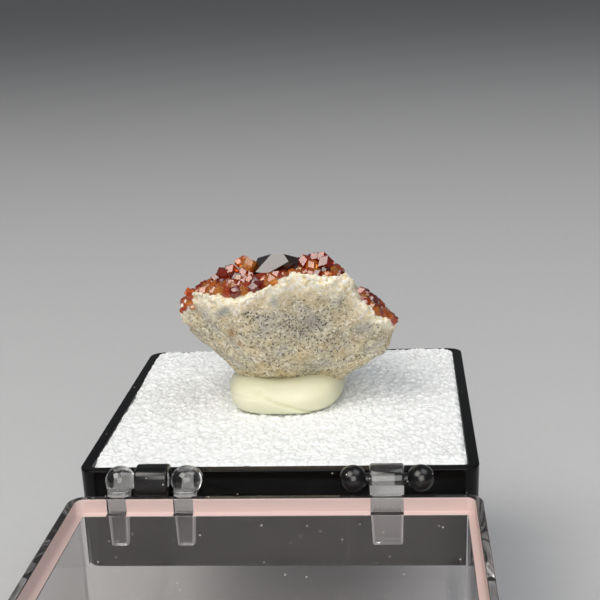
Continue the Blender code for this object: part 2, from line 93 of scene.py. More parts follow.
class Finish:
    """A material's node tree, with one short method for each kind of node that the finishes are made of."""

    def __init__(self, name: str) -> None:
        """Starts a material that holds only its output and the place on the piece.

        Args:
            name: the material's name.
        """
        self.material = bpy.data.materials.new(name)
        self.material.use_nodes = True
        self.tree = self.material.node_tree
        self.tree.nodes.clear()
        self.out = self.tree.nodes.new("ShaderNodeOutputMaterial")
        self.place = self.node("TexCoord").outputs["Object"]

    def node(self, kind: str, inputs: dict | None = None, **settings) -> bpy.types.Node:
        """Adds a node with its settings and links.

        Args:
            kind: the end of the node's type name.
            inputs: socket name or number to a value or another node's output.
            settings: the node's own properties.

        Returns:
            The node.
        """
        made = self.tree.nodes.new(f"ShaderNode{kind}")
        for key, value in settings.items():
            setattr(made, key, value)
        for key, value in (inputs or {}).items():
            if isinstance(value, Socket):
                self.tree.links.new(value, made.inputs[key])
            else:
                made.inputs[key].default_value = value
        return made

    def attribute(self, name: str) -> Socket:
        """The piece's own values of this name."""
        return self.node("Attribute", attribute_name=name).outputs["Fac"]

    def noise(self, scale: float, detail: float, output: str = "Fac") -> Socket:
        """Cloudy noise over the piece."""
        return self.node("TexNoise", {"Vector": self.place, "Scale": scale, "Detail": detail}).outputs[output]

    def cells(self, scale: float, where: Socket | None = None, **settings) -> bpy.types.NodeOutputs:
        """Cells round scattered points, with their distance and colour."""
        place = self.place if where is None else where
        return self.node("TexVoronoi", {"Vector": place, "Scale": scale}, **settings).outputs

    def channels(self, colour: Socket) -> bpy.types.NodeOutputs:
        """The three channels of a colour."""
        return self.node("SeparateColor", {"Color": colour}).outputs

    def math(self, operation: str, *values: Socket | float) -> Socket:
        """One step of arithmetic on two or three values."""
        return self.node("Math", dict(enumerate(values)), operation=operation).outputs[0]

    def span(self, value: Socket, to: Pair, start: Pair = (0.0, 1.0)) -> Socket:
        """Carries a value from one range to another and holds it at both ends."""
        ends = {"From Min": start[0], "From Max": start[1], "To Min": to[0], "To Max": to[1]}
        return self.node("MapRange", {"Value": value, **ends}).outputs[0]

    def mix(self, share: Socket, under: Socket | str, over: Socket | str) -> Socket:
        """Lays one colour over another by a share; either may be six hex digits."""
        tints = [linear(tint) if isinstance(tint, str) else tint for tint in (under, over)]
        return self.node("MixRGB", {"Fac": share, "Color1": tints[0], "Color2": tints[1]}).outputs[0]

    def ramp(self, value: Socket, stops: tuple[tuple[float, str], ...]) -> Socket:
        """Turns a value into a colour between stops."""
        made = self.node("ValToRGB", {"Fac": value})
        elements = made.color_ramp.elements
        while len(elements) < len(stops):
            elements.new(1.0)
        for element, (place, colour) in zip(elements, stops):
            element.position = place
            element.color = linear(colour)
        return made.outputs[0]

    def bump(self, height: Socket, strength: float, depth_mm: float) -> Socket:
        """Fine relief for a shader's normal."""
        depth = depth_mm * MM
        return self.node("Bump", {"Height": height, "Strength": strength, "Distance": depth}).outputs[0]

    def shader(self, kind: str, inputs: dict) -> Socket:
        """A surface shader, by the end of its type name."""
        return self.node(f"Bsdf{kind}", inputs).outputs[0]

    def blend(self, share: Socket | float, first: Socket, second: Socket) -> Socket:
        """Mixes two shaders by the second one's share."""
        return self.node("MixShader", {0: share, 1: first, 2: second}).outputs[0]

    def done(self, surface: Socket, volume: Socket | None = None) -> bpy.types.Material:
        """Links the output and gives back the material."""
        self.tree.links.new(surface, self.out.inputs["Surface"])
        if volume is not None:
            self.tree.links.new(volume, self.out.inputs["Volume"])
        return self.material


def lattice_random(cells: Array, seed: int) -> Array:
    """Hashes whole-number cells to values from 0 to 1, by multiply, exclusive-or and shift."""
    whole = cells.astype(np.int64) & 0xFFFFFFFF
    mixed = (whole[..., 0] * 73856093) ^ (whole[..., 1] * 19349663) ^ (whole[..., 2] * 83492791)
    mixed = (mixed ^ (seed * 2654435761)) & 0xFFFFFFFF
    for _ in range(2):
        mixed = ((mixed ^ (mixed >> 15)) * 2246822519) & 0xFFFFFFFF
        mixed = ((mixed ^ (mixed >> 13)) * 3266489917) & 0xFFFFFFFF
    return ((mixed ^ (mixed >> 16)) & 0xFFFFFFFF) / 4294967296.0


def smooth_noise(points: Array, size: float, seed: int) -> Array:
    """Value noise from -1 to 1: random values on a cubic lattice of this size, blended by a smooth step.

    Args:
        points: places, last axis X, Y, Z.
        size: the lattice spacing.
        seed: picks the values.

    Returns:
        One value a point.
    """
    scaled = points / size
    base = np.floor(scaled)
    part = scaled - base
    part = part * part * (3 - 2 * part)
    total = np.zeros(points.shape[:-1])
    for corner in itertools.product((0, 1), repeat=3):
        weight = np.prod(np.where(np.array(corner) == 1, part, 1 - part), axis=-1)
        total += weight * lattice_random(base + np.array(corner), seed)
    return 2 * total - 1


def cell_noise(points: Array, size: float, seed: int) -> tuple[Array, Array, Array]:
    """Distances to the nearest and second nearest of one random point a lattice cell, in cell sizes.

    Args:
        points: places, last axis X, Y, Z.
        size: the cell size.
        seed: picks the points.

    Returns:
        Nearest distance, second distance, and a random value of the nearest point's own.
    """
    scaled = points / size
    base = np.floor(scaled)
    first = np.full(points.shape[:-1], 9.0)
    second = first.copy()
    owner = np.zeros_like(first)
    for step in itertools.product((-1, 0, 1), repeat=3):
        cell = base + np.array(step)
        spot = np.stack([lattice_random(cell, seed + k) for k in range(3)], axis=-1)
        away = np.linalg.norm(scaled - cell - spot, axis=-1)
        nearer = away < first
        second = np.where(nearer, first, np.minimum(second, away))
        owner = np.where(nearer, lattice_random(cell, seed + 7), owner)
        first = np.where(nearer, away, first)
    return first, second, owner


def facing_out(points: Array, faces: list[Array]) -> list[Array]:
    """A closed shell's faces, turned over if they enclose a negative volume."""
    fans = [np.stack([f[:, 0], f[:, k], f[:, k + 1]], 1) for f in faces for k in range(1, f.shape[1] - 1)]
    a, b, c = (points[np.concatenate(fans)] - points.mean(0)).transpose(1, 0, 2)
    inward = np.einsum("ij,ij->i", a, np.cross(b, c)).sum() < 0
    return [f[:, ::-1] for f in faces] if inward else faces


def mesh_object(name: str, points: Array, faces: list[Array], smooth: bool = True) -> Piece:
    """Puts arrays of points and faces into a mesh whose closed faces point out.

    Args:
        name: the piece's name.
        points: n by 3 places.
        faces: arrays of vertex numbers, one row a face, one array for each corner count.
        smooth: whether the faces are shaded smooth.

    Returns:
        The object, at the origin.
    """
    faces = facing_out(points, faces)
    loops = np.concatenate([f.ravel() for f in faces]).astype(np.int32)
    totals = np.concatenate([np.full(len(f), f.shape[1]) for f in faces]).astype(np.int32)
    starts = np.concatenate([[0], np.cumsum(totals)[:-1]]).astype(np.int32)
    mesh = bpy.data.meshes.new(name)
    mesh.vertices.add(len(points))
    mesh.vertices.foreach_set("co", points.astype(np.float32).ravel())
    mesh.loops.add(len(loops))
    mesh.loops.foreach_set("vertex_index", loops)
    mesh.polygons.add(len(totals))
    mesh.polygons.foreach_set("loop_start", starts)
    mesh.polygons.foreach_set("loop_total", totals)
    mesh.update(calc_edges=True)
    mesh.polygons.foreach_set("use_smooth", np.full(len(totals), smooth))
    mesh.validate()
    made = bpy.data.objects.new(name, mesh)
    bpy.context.scene.collection.objects.link(made)
    return made


def grid_faces(rows: int, columns: int, wrap_rows: bool, wrap_columns: bool) -> Array:
    """The quads of a grid of points, in row order, with either direction closed on itself."""
    i = np.arange(rows if wrap_rows else rows - 1)
    j = np.arange(columns if wrap_columns else columns - 1)
    i, j = np.meshgrid(i, j, indexing="ij")
    after_i, after_j = (i + 1) % rows, (j + 1) % columns
    quads = np.stack(
        [i * columns + j, i * columns + after_j, after_i * columns + after_j, after_i * columns + j], -1
    )
    return quads.reshape(-1, 4)


def tube(name: str, rings: Array) -> Piece:
    """Closes a row of rings into a solid: quads between rings, and a fan on the middle of each end.

    Args:
        name: the piece's name.
        rings: rings by points by 3.

    Returns:
        The object.
    """
    return mesh_object(name, *tube_arrays(rings))


def tube_arrays(rings: Array, hub: Pair | None = None) -> Shell:
    """The points and faces of a closed row of rings; hub gives Y and Z of the end fans' middle."""
    count, around = rings.shape[:2]
    ends = np.stack([rings[0].mean(0), rings[-1].mean(0)])
    if hub is not None:
        ends[:, 1:] = hub
    points = np.concatenate([rings.reshape(-1, 3), ends])
    quads = grid_faces(count, around, False, True)
    j = np.arange(around)
    after = (j + 1) % around
    last_ring = (count - 1) * around
    low = np.stack([np.full(around, count * around), after, j], -1)
    high = np.stack([np.full(around, count * around + 1), j + last_ring, after + last_ring], -1)
    return points, [quads, np.concatenate([low, high])]


def joined(name: str, parts: list[Shell]) -> Piece:
    """Joins several closed shells into one piece, each facing out.

    Args:
        name: the piece's name.
        parts: points and faces of each shell.

    Returns:
        The object.
    """
    points, faces, start = [], [], 0
    for shell, shell_faces in parts:
        faces += [f + start for f in facing_out(shell, shell_faces)]
        points.append(shell)
        start += len(shell)
    return mesh_object(name, np.concatenate(points), faces)


def give_attribute(piece: Piece, name: str, values: Array) -> None:
    """Stores one number a vertex for the material to read."""
    made = piece.data.attributes.new(name, "FLOAT", "POINT")
    made.data.foreach_set("value", values.astype(np.float32).ravel())


def rounded_square(half: float, radius: float, inset: float) -> Array:
    """A rounded square, drawn in by inset: quarter circles about the corner centres and straight sides.

    Args:
        half: half the outer side.
        radius: the outer corner radius.
        inset: how far inside the outer line the path runs.

    Returns:
        Points by 2.
    """
    sharp = radius - inset < SHARPEST
    reach = SHARPEST if sharp else radius - inset
    centre = half - inset - reach if sharp else half - radius
    pieces = []
    for quarter in range(4):
        angle = np.linspace(0, np.pi / 2, CORNER_POINTS) + quarter * np.pi / 2
        middle = np.array([(1, 1), (-1, 1), (-1, -1), (1, -1)][quarter]) * centre
        pieces.append(middle + reach * np.stack([np.cos(angle), np.sin(angle)], -1))
    path = []
    for here, there in zip(pieces, pieces[1:] + pieces[:1]):
        path.append(here)
        share = np.linspace(0, 1, SIDE_POINTS + 2)[1:-1, None]
        path.append(here[-1] * (1 - share) + there[0] * share)
    return np.concatenate(path)


def edge_arc(centre: Pair, radius: float, start: float, end: float) -> list[Pair]:
    """Points on a rounded edge of a profile: a circle about centre from one angle to another, in degrees."""
    angles = np.radians(np.linspace(start, end, 4))
    return [(centre[0] + radius * math.cos(a), centre[1] + radius * math.sin(a)) for a in angles]


def rim_arcs(wall: float, top: float, lip: float) -> list[Pair]:
    """Both rounded edges of a wall's rim, the outer one first."""
    return edge_arc((lip, top - lip), lip, 180, 90) + edge_arc((wall - lip, top - lip), lip, 90, 0)


def squared(c: Array, s: Array, power: float) -> Array:
    """How far out a circle's points go when it is pulled towards a square; power 2 leaves it round."""
    return (np.abs(c) ** power + np.abs(s) ** power) ** (-1 / power)


def mm(*values: float) -> Array:
    """A row of lengths given in millimetres."""
    return np.array(values) * MM


def box_shell(half: float, corner: float, profile: list[Pair], middle_y: float) -> Array:
    """Carries a wall profile of inset and height round a rounded square.

    Args:
        half: half the outer side.
        corner: outer corner radius.
        profile: inset and height pairs, from the middle of one face round the wall to the other.
        middle_y: where the square's middle lies.

    Returns:
        Rings by points by 3.
    """
    rings = []
    for inset, height in profile:
        path = rounded_square(half, corner, inset)
        rings.append(np.column_stack([path[:, 0], path[:, 1] + middle_y, np.full(len(path), height)]))
    return np.array(rings)


def even_normals(piece: Piece) -> None:
    """Weights the normals by face area, so that flat walls between rounded edges look flat."""
    step = piece.modifiers.new("even normals", "WEIGHTED_NORMAL")
    step.weight = 60


@dataclass(frozen=True)
class BlackStyrene:
    """Glossy black polystyrene, injection moulded: a mirror-smooth skin that shows lights and fine dust."""

    name: str
    gloss: float
    rough: Pair
    body: str = "050505"
    dust: str = "d8d4cc"
    speck_mm: float = 0.8
    speck_reach: float = 0.075
    smear_scale: float = 420.0
    dusty_scale: float = 260.0

    def make(self) -> bpy.types.Material:
        """Builds the material: a dark gloss, roughened a little by handling, with sparse dust specks."""
        finish = Finish(self.name)
        smear = finish.noise(self.smear_scale, 6.0)
        fleck = finish.math("LESS_THAN", finish.cells(per(self.speck_mm))["Distance"], self.speck_reach)
        dusty = finish.math("GREATER_THAN", finish.noise(self.dusty_scale, 2.0), 0.5)
        skin = finish.shader("Principled", {
            "Base Color": finish.mix(finish.math("MULTIPLY", fleck, dusty), self.body, self.dust),
            "Roughness": finish.span(smear, self.rough), "IOR": STYRENE_IOR,
            "Specular IOR Level": self.gloss, "Normal": finish.bump(smear, 0.03, 0.02),
        })
        return finish.done(skin)


@dataclass(frozen=True)
class ClearStyrene:
    """Clear polystyrene, injection moulded: crystal clear, with hairlines and dust, and a painted glow in
    satin colour at the stepped lip and on the legs' edges, standing in for light that the plastic's edges
    gather.

    Where a leg backs the lip, the painted glow is left off and the lip looks clear: backed has each leg's
    middle and half width, top and end.
    """

    name: str
    backed: tuple[Spot, ...]
    lip_y: float
    # tint: its faint pink is painted light from the surroundings, not the plastic's own colour.
    tint: str = "fcf9f9"
    roughness: float = 0.01
    haze: float = 0.012
    dust: str = "e8dfda"
    # satin: the colour of the painted glow; at the lid's lip its pink is painted light from the surroundings.
    satin: str = "eed3cd"
    fleck_mm: float = 1.3
    fleck_reach: float = 0.05
    scratch_mm: float = 1.6
    scratch_reach: float = 0.0025
    worn_mm: float = 3.5

    def make(self) -> bpy.types.Material:
        """Builds the material: clear plastic with dust and scratches, and a painted glow in satin colour at
        the lip and on the legs' edges, standing in for the light they gather.
        """
        finish = Finish(self.name)
        fleck = finish.math("LESS_THAN", finish.cells(per(self.fleck_mm))["Distance"], self.fleck_reach)
        drawn = finish.node(
            "Mapping", {"Vector": finish.place, "Rotation": (0.3, 0.5, 0.7), "Scale": (1.0, 0.04, 0.04)}
        ).outputs[0]
        lines = finish.cells(per(self.scratch_mm), drawn, feature="DISTANCE_TO_EDGE")["Distance"]
        worn = finish.span(finish.noise(per(self.worn_mm), 2.0), (0.0, 0.1), (0.56, 0.68))
        hair = finish.math("MULTIPLY", finish.math("LESS_THAN", lines, self.scratch_reach), worn)
        marks = finish.math("ADD", finish.math("MAXIMUM", fleck, hair), self.haze)
        clear = finish.shader("Principled", {
            "Base Color": linear(self.tint), "Roughness": self.roughness, "IOR": STYRENE_IOR,
            "Transmission Weight": 1.0,
        })
        marked = finish.blend(marks, clear, finish.shader("Diffuse", {"Color": linear(self.dust)}))
        # Painted glow: the share of satin colour, diffuse and translucent, painted where the lip and the
        # legs' edges gather light.
        painted_glow = finish.attribute("painted_glow")
        across, deep, _ = finish.node("SeparateXYZ", {0: finish.place}).outputs
        for middle, top, end in self.backed:
            stripe = finish.math("COMPARE", across, middle, 0.6 * top + 0.4 * end)
            near = finish.math("COMPARE", deep, self.lip_y, 0.5 * MM)
            keep = finish.math("SUBTRACT", 1.0, finish.math("MULTIPLY", stripe, near))
            painted_glow = finish.math("MULTIPLY", painted_glow, keep)
        glow = finish.shader("Translucent", {"Color": linear(self.satin)})
        satin = finish.blend(0.85, glow, finish.shader("Diffuse", {"Color": linear(self.satin)}))
        return finish.done(finish.blend(painted_glow, marked, satin))


@dataclass(frozen=True)
class BeadFoam:
    """Expanded bead foam, cut and pressed: white cells that glitter where their skins face the light."""

    light: str = "fcfdfd"
    shade: str = "e6ebeb"
    grit_mm: float = 0.16
    skin_mm: float = 0.34

    def make(self) -> bpy.types.Material:
        """Builds the material: scattering white, with painted shade in the hollows between beads, and a satin
        skin.
        """
        finish = Finish("expanded_bead_foam_cut")
        grit = finish.cells(per(self.grit_mm))["Distance"]
        sheen = finish.channels(finish.cells(per(self.skin_mm))["Color"])[0]
        skin = finish.shader("Principled", {
            # The seam share paints the shade colour into the hollows between beads.
            "Base Color": finish.mix(finish.attribute("painted_seam_shade"), self.light, self.shade),
            "Roughness": finish.span(sheen, (0.1, 0.75)), "IOR": 1.4, "Normal": finish.bump(grit, 0.5, 0.05),
            "Subsurface Weight": 0.3, "Subsurface Radius": (1.0, 1.0, 1.0), "Subsurface Scale": 0.5 * MM,
        })
        return finish.done(skin)


@dataclass(frozen=True)
class MountingPutty:
    """Mounting putty, rolled and pressed by hand: dense cream, softly scattering, with a satin skin."""

    body: str = "e6e6cd"
    # worn: the darker cream of handled putty, also used for the painted shade along the fold.
    worn: str = "d3d2ab"
    cloud_scale: float = 240.0
    grain_mm: float = 0.25

    def make(self) -> bpy.types.Material:
        """Builds the material: cream with faint cloudy tone, painted shade along the fold, a soft sheen and
        fine finger grain.
        """
        finish = Finish("mounting_putty_pressed")
        # The fold attribute adds painted shade along the crease of the roll.
        amount = finish.math("ADD", finish.noise(self.cloud_scale, 4.0), finish.attribute("fold"))
        grain = finish.noise(per(self.grain_mm), 3.0)
        skin = finish.shader("Principled", {
            "Base Color": finish.ramp(amount, ((0.3, self.body), (1.0, self.worn))),
            "Roughness": 0.5, "IOR": 1.45, "Normal": finish.bump(grain, 0.25, 0.04),
            "Subsurface Weight": 0.25, "Subsurface Radius": (1.0, 0.9, 0.6), "Subsurface Scale": 0.7 * MM,
        })
        return finish.done(skin)


@dataclass(frozen=True)
class FeldsparRock:
    """Granular feldspar rock, broken: pale interlocked grains, smoky specks, rusty stains, sugary rim."""

    grain_mm: float = 0.21
    speck_mm: float = 0.13
    warp_mm: float = 0.2
    stir_mm: float = 0.3
    cloud_mm: float = 1.7
    fine_mm: float = 0.1

    GRAINS = ((0.0, "93886f"), (0.2, "b9ad90"), (0.5, "d0c4a6"), (0.8, "dfd4b8"), (1.0, "f4ecd8"))
    SUGAR = ((0.0, "e6d2a0"), (0.25, "f6e9c8"), (0.7, "fdf5e2"), (1.0, "fffdf6"))

    def make(self) -> bpy.types.Material:
        """Builds the material from grains, specks, painted glints and the rock's own rim, smoke, rust and
        cool attributes; the smoke attribute also carries painted shade along the crack.
        """
        finish = Finish("feldspar_rock_broken")
        rim, smoke, rust, cool = (finish.attribute(name) for name in ("rim", "smoke", "rust", "cool"))
        stir = finish.noise(per(self.stir_mm), 2.0, "Color")
        warped = finish.node(
            "VectorMath", {0: stir, 1: (self.warp_mm * MM,) * 3, 2: finish.place}, operation="MULTIPLY_ADD"
        ).outputs[0]
        grains = finish.cells(per(self.grain_mm), warped)
        pick = finish.channels(grains["Color"])
        specks = finish.channels(finish.cells(per(self.speck_mm), warped)["Color"])
        cloud = finish.noise(per(self.cloud_mm), 6.0)
        rare = finish.math("ADD", finish.span(smoke, (0.975, 0.76)), rim)
        layers = (
            (finish.span(cloud, (0.0, 0.55), (0.48, 0.34)), "b0aca8"),
            (finish.span(cloud, (0.0, 0.6), (0.5, 0.66)), "d6bd8c"),
            (rust, "9a7440"),
            # The smoke share also holds painted shade along the crack.
            (finish.math("MULTIPLY", smoke, 0.55), "96918a"),
            (cool, "8b9298"),
            (finish.math("MULTIPLY", finish.math("GREATER_THAN", specks[1], rare), 0.85), "423c3a"),
            # Painted glints: sparse near-white specks standing in for light caught by flat grain faces.
            (finish.math("MULTIPLY", finish.math("GREATER_THAN", specks[2], 0.93), 0.45), "f4f1ea"),
            (finish.math("MINIMUM", rim, 1.0), finish.ramp(pick[1], self.SUGAR)),
        )
        colour = finish.ramp(pick[0], self.GRAINS)
        for share, tint in layers:
            colour = finish.mix(share, colour, tint)
        relief = finish.math("MULTIPLY_ADD", grains["Distance"], -0.6, finish.noise(per(self.fine_mm), 4.0))
        skin = finish.shader("Principled", {
            "Base Color": colour, "Roughness": finish.span(pick[2], (0.25, 0.9)), "IOR": 1.53,
            "Normal": finish.bump(relief, 0.9, 0.1),
            "Subsurface Weight": 0.1, "Subsurface Radius": (1.0, 0.85, 0.65), "Subsurface Scale": 0.2 * MM,
        })
        return finish.done(skin)


@dataclass(frozen=True)
class Garnet:
    """Garnet, grown with bright natural faces: a glassy skin over clear orange to smoky red depth."""

    name: str
    stops: tuple[tuple[float, str], ...]
    depth_colour: str
    density: float
    transmission: float = 0.7
    veil_mm: float = 0.35

    def make(self) -> bpy.types.Material:
        """Builds the material: tinted clear crystal with plain absorption, each crystal of its own tone."""
        finish = Finish(self.name)
        veil = finish.noise(per(self.veil_mm), 3.0)
        skin = finish.shader("Principled", {
            "Base Color": finish.ramp(finish.attribute("tone"), self.stops),
            "Roughness": finish.span(veil, (0.0, 0.1)), "IOR": 1.81,
            "Transmission Weight": self.transmission, "Normal": finish.bump(veil, 0.06, 0.02),
        })
        depth = finish.node("VolumeAbsorption", {"Color": linear(self.depth_colour), "Density": self.density})
        return finish.done(skin, depth.outputs[0])


class Habit(Enum):
    """Garnet habits, as the distances of the 12 rhomb faces and the 24 kite faces."""

    RHOMBIC = (1.0, 1.3)
    MIXED = (1.0, 1.045)
    KITED = (1.3, 1.0)


@dataclass
class CrystalForm:
    """A convex crystal as corners and faces, from its face planes: normals and distances from its middle."""

    normals: Array
    reach: Array

    def __post_init__(self) -> None:
        """Works out the corners and orders each face's corners round its normal."""
        picks = np.array(list(itertools.combinations(range(len(self.normals)), 3)))
        systems = self.normals[picks]
        solid = np.abs(np.linalg.det(systems)) > 1e-6
        spots = np.linalg.solve(systems[solid], self.reach[picks[solid]][..., None])[..., 0]
        inside = (spots @ self.normals.T <= self.reach + 1e-6).all(axis=1)
        self.corners = np.unique(np.round(spots[inside], 5), axis=0)
        self.faces: list[list[int]] = []
        for normal, distance in zip(self.normals, self.reach):
            on_face = np.nonzero(np.abs(self.corners @ normal - distance) < 5e-5)[0]
            if len(on_face) < 3:
                continue
            flat = self.corners[on_face] - normal * distance
            flat = flat - flat.mean(0)
            side = flat[0] / np.linalg.norm(flat[0])
            angle = np.arctan2(flat @ np.cross(normal, side), flat @ side)
            self.faces.append([int(k) for k in on_face[np.argsort(angle)]])

    @classmethod
    def of_habit(cls, habit: Habit) -> "CrystalForm":
        """The form of a habit: every (1,1,0) and every (2,1,1) direction at the habit's two distances."""
        rhomb, kite = habit.value
        normals, reach = [], []
        for signs in itertools.product((1, -1), repeat=3):
            for k in range(3):
                direction = np.array(signs, float)
                direction[k] *= 2
                normals.append(direction / math.sqrt(6))
                reach.append(kite)
                direction = np.array(signs, float)
                direction[k] = 0
                if signs[k] > 0:
                    normals.append(direction / math.sqrt(2))
                    reach.append(rhomb)
        return cls(np.array(normals), np.array(reach))


def random_turns(draw: np.random.Generator, count: int) -> Array:
    """Random turns as matrices, from unit quaternions.

    Args:
        draw: the random source.
        count: how many.

    Returns:
        count by 3 by 3.
    """
    q = draw.normal(size=(count, 4))
    w, x, y, z = (q / np.linalg.norm(q, axis=1)[:, None]).T
    return np.stack([
        1 - 2 * (y * y + z * z), 2 * (x * y - z * w), 2 * (x * z + y * w),
        2 * (x * y + z * w), 1 - 2 * (x * x + z * z), 2 * (y * z - x * w),
        2 * (x * z - y * w), 2 * (y * z + x * w), 1 - 2 * (x * x + y * y),
    ], -1).reshape(-1, 3, 3)


def crystal_cloud(
    name: str, forms: list[CrystalForm], kinds: Array, centres: Array, radii: Array, turns: Array,
    tones: Array,
) -> Piece:
    """Puts many whole crystals into one piece: each form's corners, turned, scaled and moved as arrays.

    Args:
        name: the piece's name.
        forms: the habits.
        kinds: which habit each crystal has.
        centres: crystals by 3.
        radii: distance of each crystal's nearest faces.
        turns: crystals by 3 by 3.
        tones: each crystal's tone, 0 pale to 1 deep.

    Returns:
        The object.
    """
    points, tone_rows, faces, start = [], [], {}, 0
    for kind, form in enumerate(forms):
        mine = np.nonzero(kinds == kind)[0]
        if not len(mine):
            continue
        shapes = np.einsum("nij,kj->nki", turns[mine], form.corners) * radii[mine, None, None]
        shapes += centres[mine, None, :]
        corners = len(form.corners)
        firsts = start + corners * np.arange(len(mine))
        for face in form.faces:
            rows = firsts[:, None] + np.array(face)[None]
            faces.setdefault(len(face), []).append(rows)
        points.append(shapes.reshape(-1, 3))
        tone_rows.append(np.repeat(tones[mine], corners))
        start += corners * len(mine)
    stacked = [np.concatenate(rows) for rows in faces.values()]
    piece = mesh_object(name, np.concatenate(points), stacked, smooth=False)
    give_attribute(piece, "tone", np.concatenate(tone_rows))
    return piece


@dataclass
class Rock:
    """The matrix: a boat-shaped piece lofted along X through stations, its crown open to the garnets."""

    foam_top: float
    middle_y: float = 0.6 * MM
    along: int = 268
    around: int = 360
    lump_size: float = 2.2 * MM
    lump_height: float = 0.24 * MM
    pit_size: float = 0.9 * MM
    pit_height: float = 0.12 * MM
    grain_size: float = 0.34 * MM
    grain_height: float = 0.055 * MM
    ledge_size: float = 2.6 * MM
    ledge_height: float = 0.22 * MM
    sugar_size: float = 0.52 * MM
    sugar_height: float = 0.17 * MM
    crack_depth: float = 0.16 * MM
    crack_mm: float = 0.07
    sink: float = 0.1 * MM

    STATIONS = mm(
        -9.75, -9.2, -8.1, -7.3, -5.5, -4.0, -2.0, 0.0, 0.9, 2.2, 4.0, 5.3, 5.8, 6.4, 8.2, 9.1, 9.5,
    )
    BOTTOM = mm(8.2, 6.7, 5.7, 5.0, 3.1, 2.1, 1.75, 1.6, 1.55, 1.6, 2.0, 2.75, 2.95, 3.2, 4.4, 6.0, 6.9)
    FRONT = mm(
        8.7, 9.3, 11.1, 11.1, 10.7, 10.5, 11.5, 12.5, 13.1, 12.9, 12.4, 12.8, 12.0, 10.4, 8.3, 7.5, 7.2,
    )
    RIDGE = mm(
        8.7, 9.4, 9.9, 10.4, 11.2, 11.6, 11.9, 11.8, 11.7, 11.7, 11.7, 11.2, 10.4, 9.3, 8.1, 7.45, 7.15,
    )
    BACK = mm(8.6, 8.9, 9.2, 9.4, 9.9, 10.2, 10.5, 10.6, 10.6, 10.5, 10.2, 9.6, 9.2, 8.7, 7.8, 7.3, 7.1)
    FRONT_REACH = mm(0.5, 1.8, 2.9, 3.4, 4.3, 4.9, 5.3, 5.4, 5.4, 5.3, 4.9, 4.5, 4.3, 4.0, 2.9, 1.6, 0.6)
    BACK_REACH = mm(0.5, 2.0, 3.5, 4.2, 5.5, 6.2, 6.8, 7.0, 7.0, 6.8, 6.3, 5.6, 5.25, 4.8, 3.2, 1.7, 0.6)

    RIM_DEPTH = (
        (-9.0, -7.0, -5.4, -3.5, -1.0, 1.0, 4.0, 5.5, 7.0, 9.0),
        (1.3, 1.7, 1.0, 0.7, 1.4, 1.7, 1.4, 2.6, 1.4, 0.8),
    )
    CRACK = ((1.9, 11.0), (2.65, 11.4), (3.3, 11.5), (3.9, 11.8), (4.4, 11.85))
    SMOKE = (
        (1.4, 8.4, 2.4, 1.9, 20.0, 1.0), (3.8, 6.2, 1.8, 1.1, 0.0, 0.9), (2.2, 10.4, 2.6, 0.9, 5.0, 0.7),
        (-2.2, 8.8, 1.6, 1.4, 0.0, 0.7), (-1.5, 5.2, 2.6, 1.4, 0.0, 0.45), (6.5, 7.2, 1.0, 0.8, 0.0, 0.6),
    )
    RUST = (
        (-4.7, 7.6, 0.4, 0.75, -20.0, 0.8), (-4.1, 6.6, 0.35, 0.3, 0.0, 0.6),
        (-2.1, 10.7, 1.1, 0.45, 35.0, 0.45), (5.1, 11.4, 0.3, 0.25, 0.0, 0.35),
        (5.8, 6.4, 0.35, 0.25, 30.0, 0.6), (4.6, 7.1, 0.3, 0.25, 0.0, 0.5), (6.4, 8.9, 0.3, 0.8, 0.0, 0.3),
    )
    COOL = (
        (-0.8, 10.6, 0.4, 0.65, 0.0, 0.9), (-5.3, 9.6, 1.0, 0.38, 28.0, 0.75),
        (-7.6, 9.3, 0.8, 0.5, -20.0, 0.45), (2.4, 3.9, 1.6, 0.7, 0.0, 0.45), (6.6, 7.7, 0.8, 0.7, 0.0, 0.5),
    )

    def surface(self) -> Array:
        """The smooth rock: at each X, a front face, a crown in two halves and a back face, round the section.

        Returns:
            Stations by points by 3.
        """
        share = np.linspace(0, 1, self.along)
        eased = 0.5 * share + 0.25 * (1 - np.cos(np.pi * share))
        x = self.STATIONS[0] + eased * (self.STATIONS[-1] - self.STATIONS[0])
        bottom, front, ridge, back, reach_f, reach_b = (
            np.interp(x, self.STATIONS, row)[:, None]
            for row in (self.BOTTOM, self.FRONT, self.RIDGE, self.BACK, self.FRONT_REACH, self.BACK_REACH)
        )
        s = np.linspace(0, 1, self.around // 4, endpoint=False)[None]
        turn = s * np.pi / 2
        y = np.concatenate([
            -reach_f * np.sin(turn) ** 1.15, -reach_f * (1 - s), reach_b * s, reach_b * np.cos(turn) ** 1.1,
        ], axis=1)
        z = np.concatenate([
            bottom + (front - bottom) * (1 - np.cos(turn) ** 1.3),
            front + (ridge - front) * np.sin(turn),
            ridge + (back - ridge) * s**1.8,
            back + (bottom - back) * np.sin(turn) ** 1.2,
        ], axis=1)
        return np.stack([np.broadcast_to(x[:, None], y.shape), y + self.middle_y, z + self.foam_top], -1)

    def normals(self, points: Array) -> Array:
        """Unit normals of the grid, from the cross product of its two directions."""
        along = np.gradient(points, axis=0)
        around = np.roll(points, -1, axis=1) - np.roll(points, 1, axis=1)
        out = np.cross(around, along)
        out /= np.linalg.norm(out, axis=-1, keepdims=True) + 1e-15
        outward = np.einsum("ijk,ijk->ij", out, points - points.mean(axis=(0, 1))).mean() > 0
        return out if outward else -out

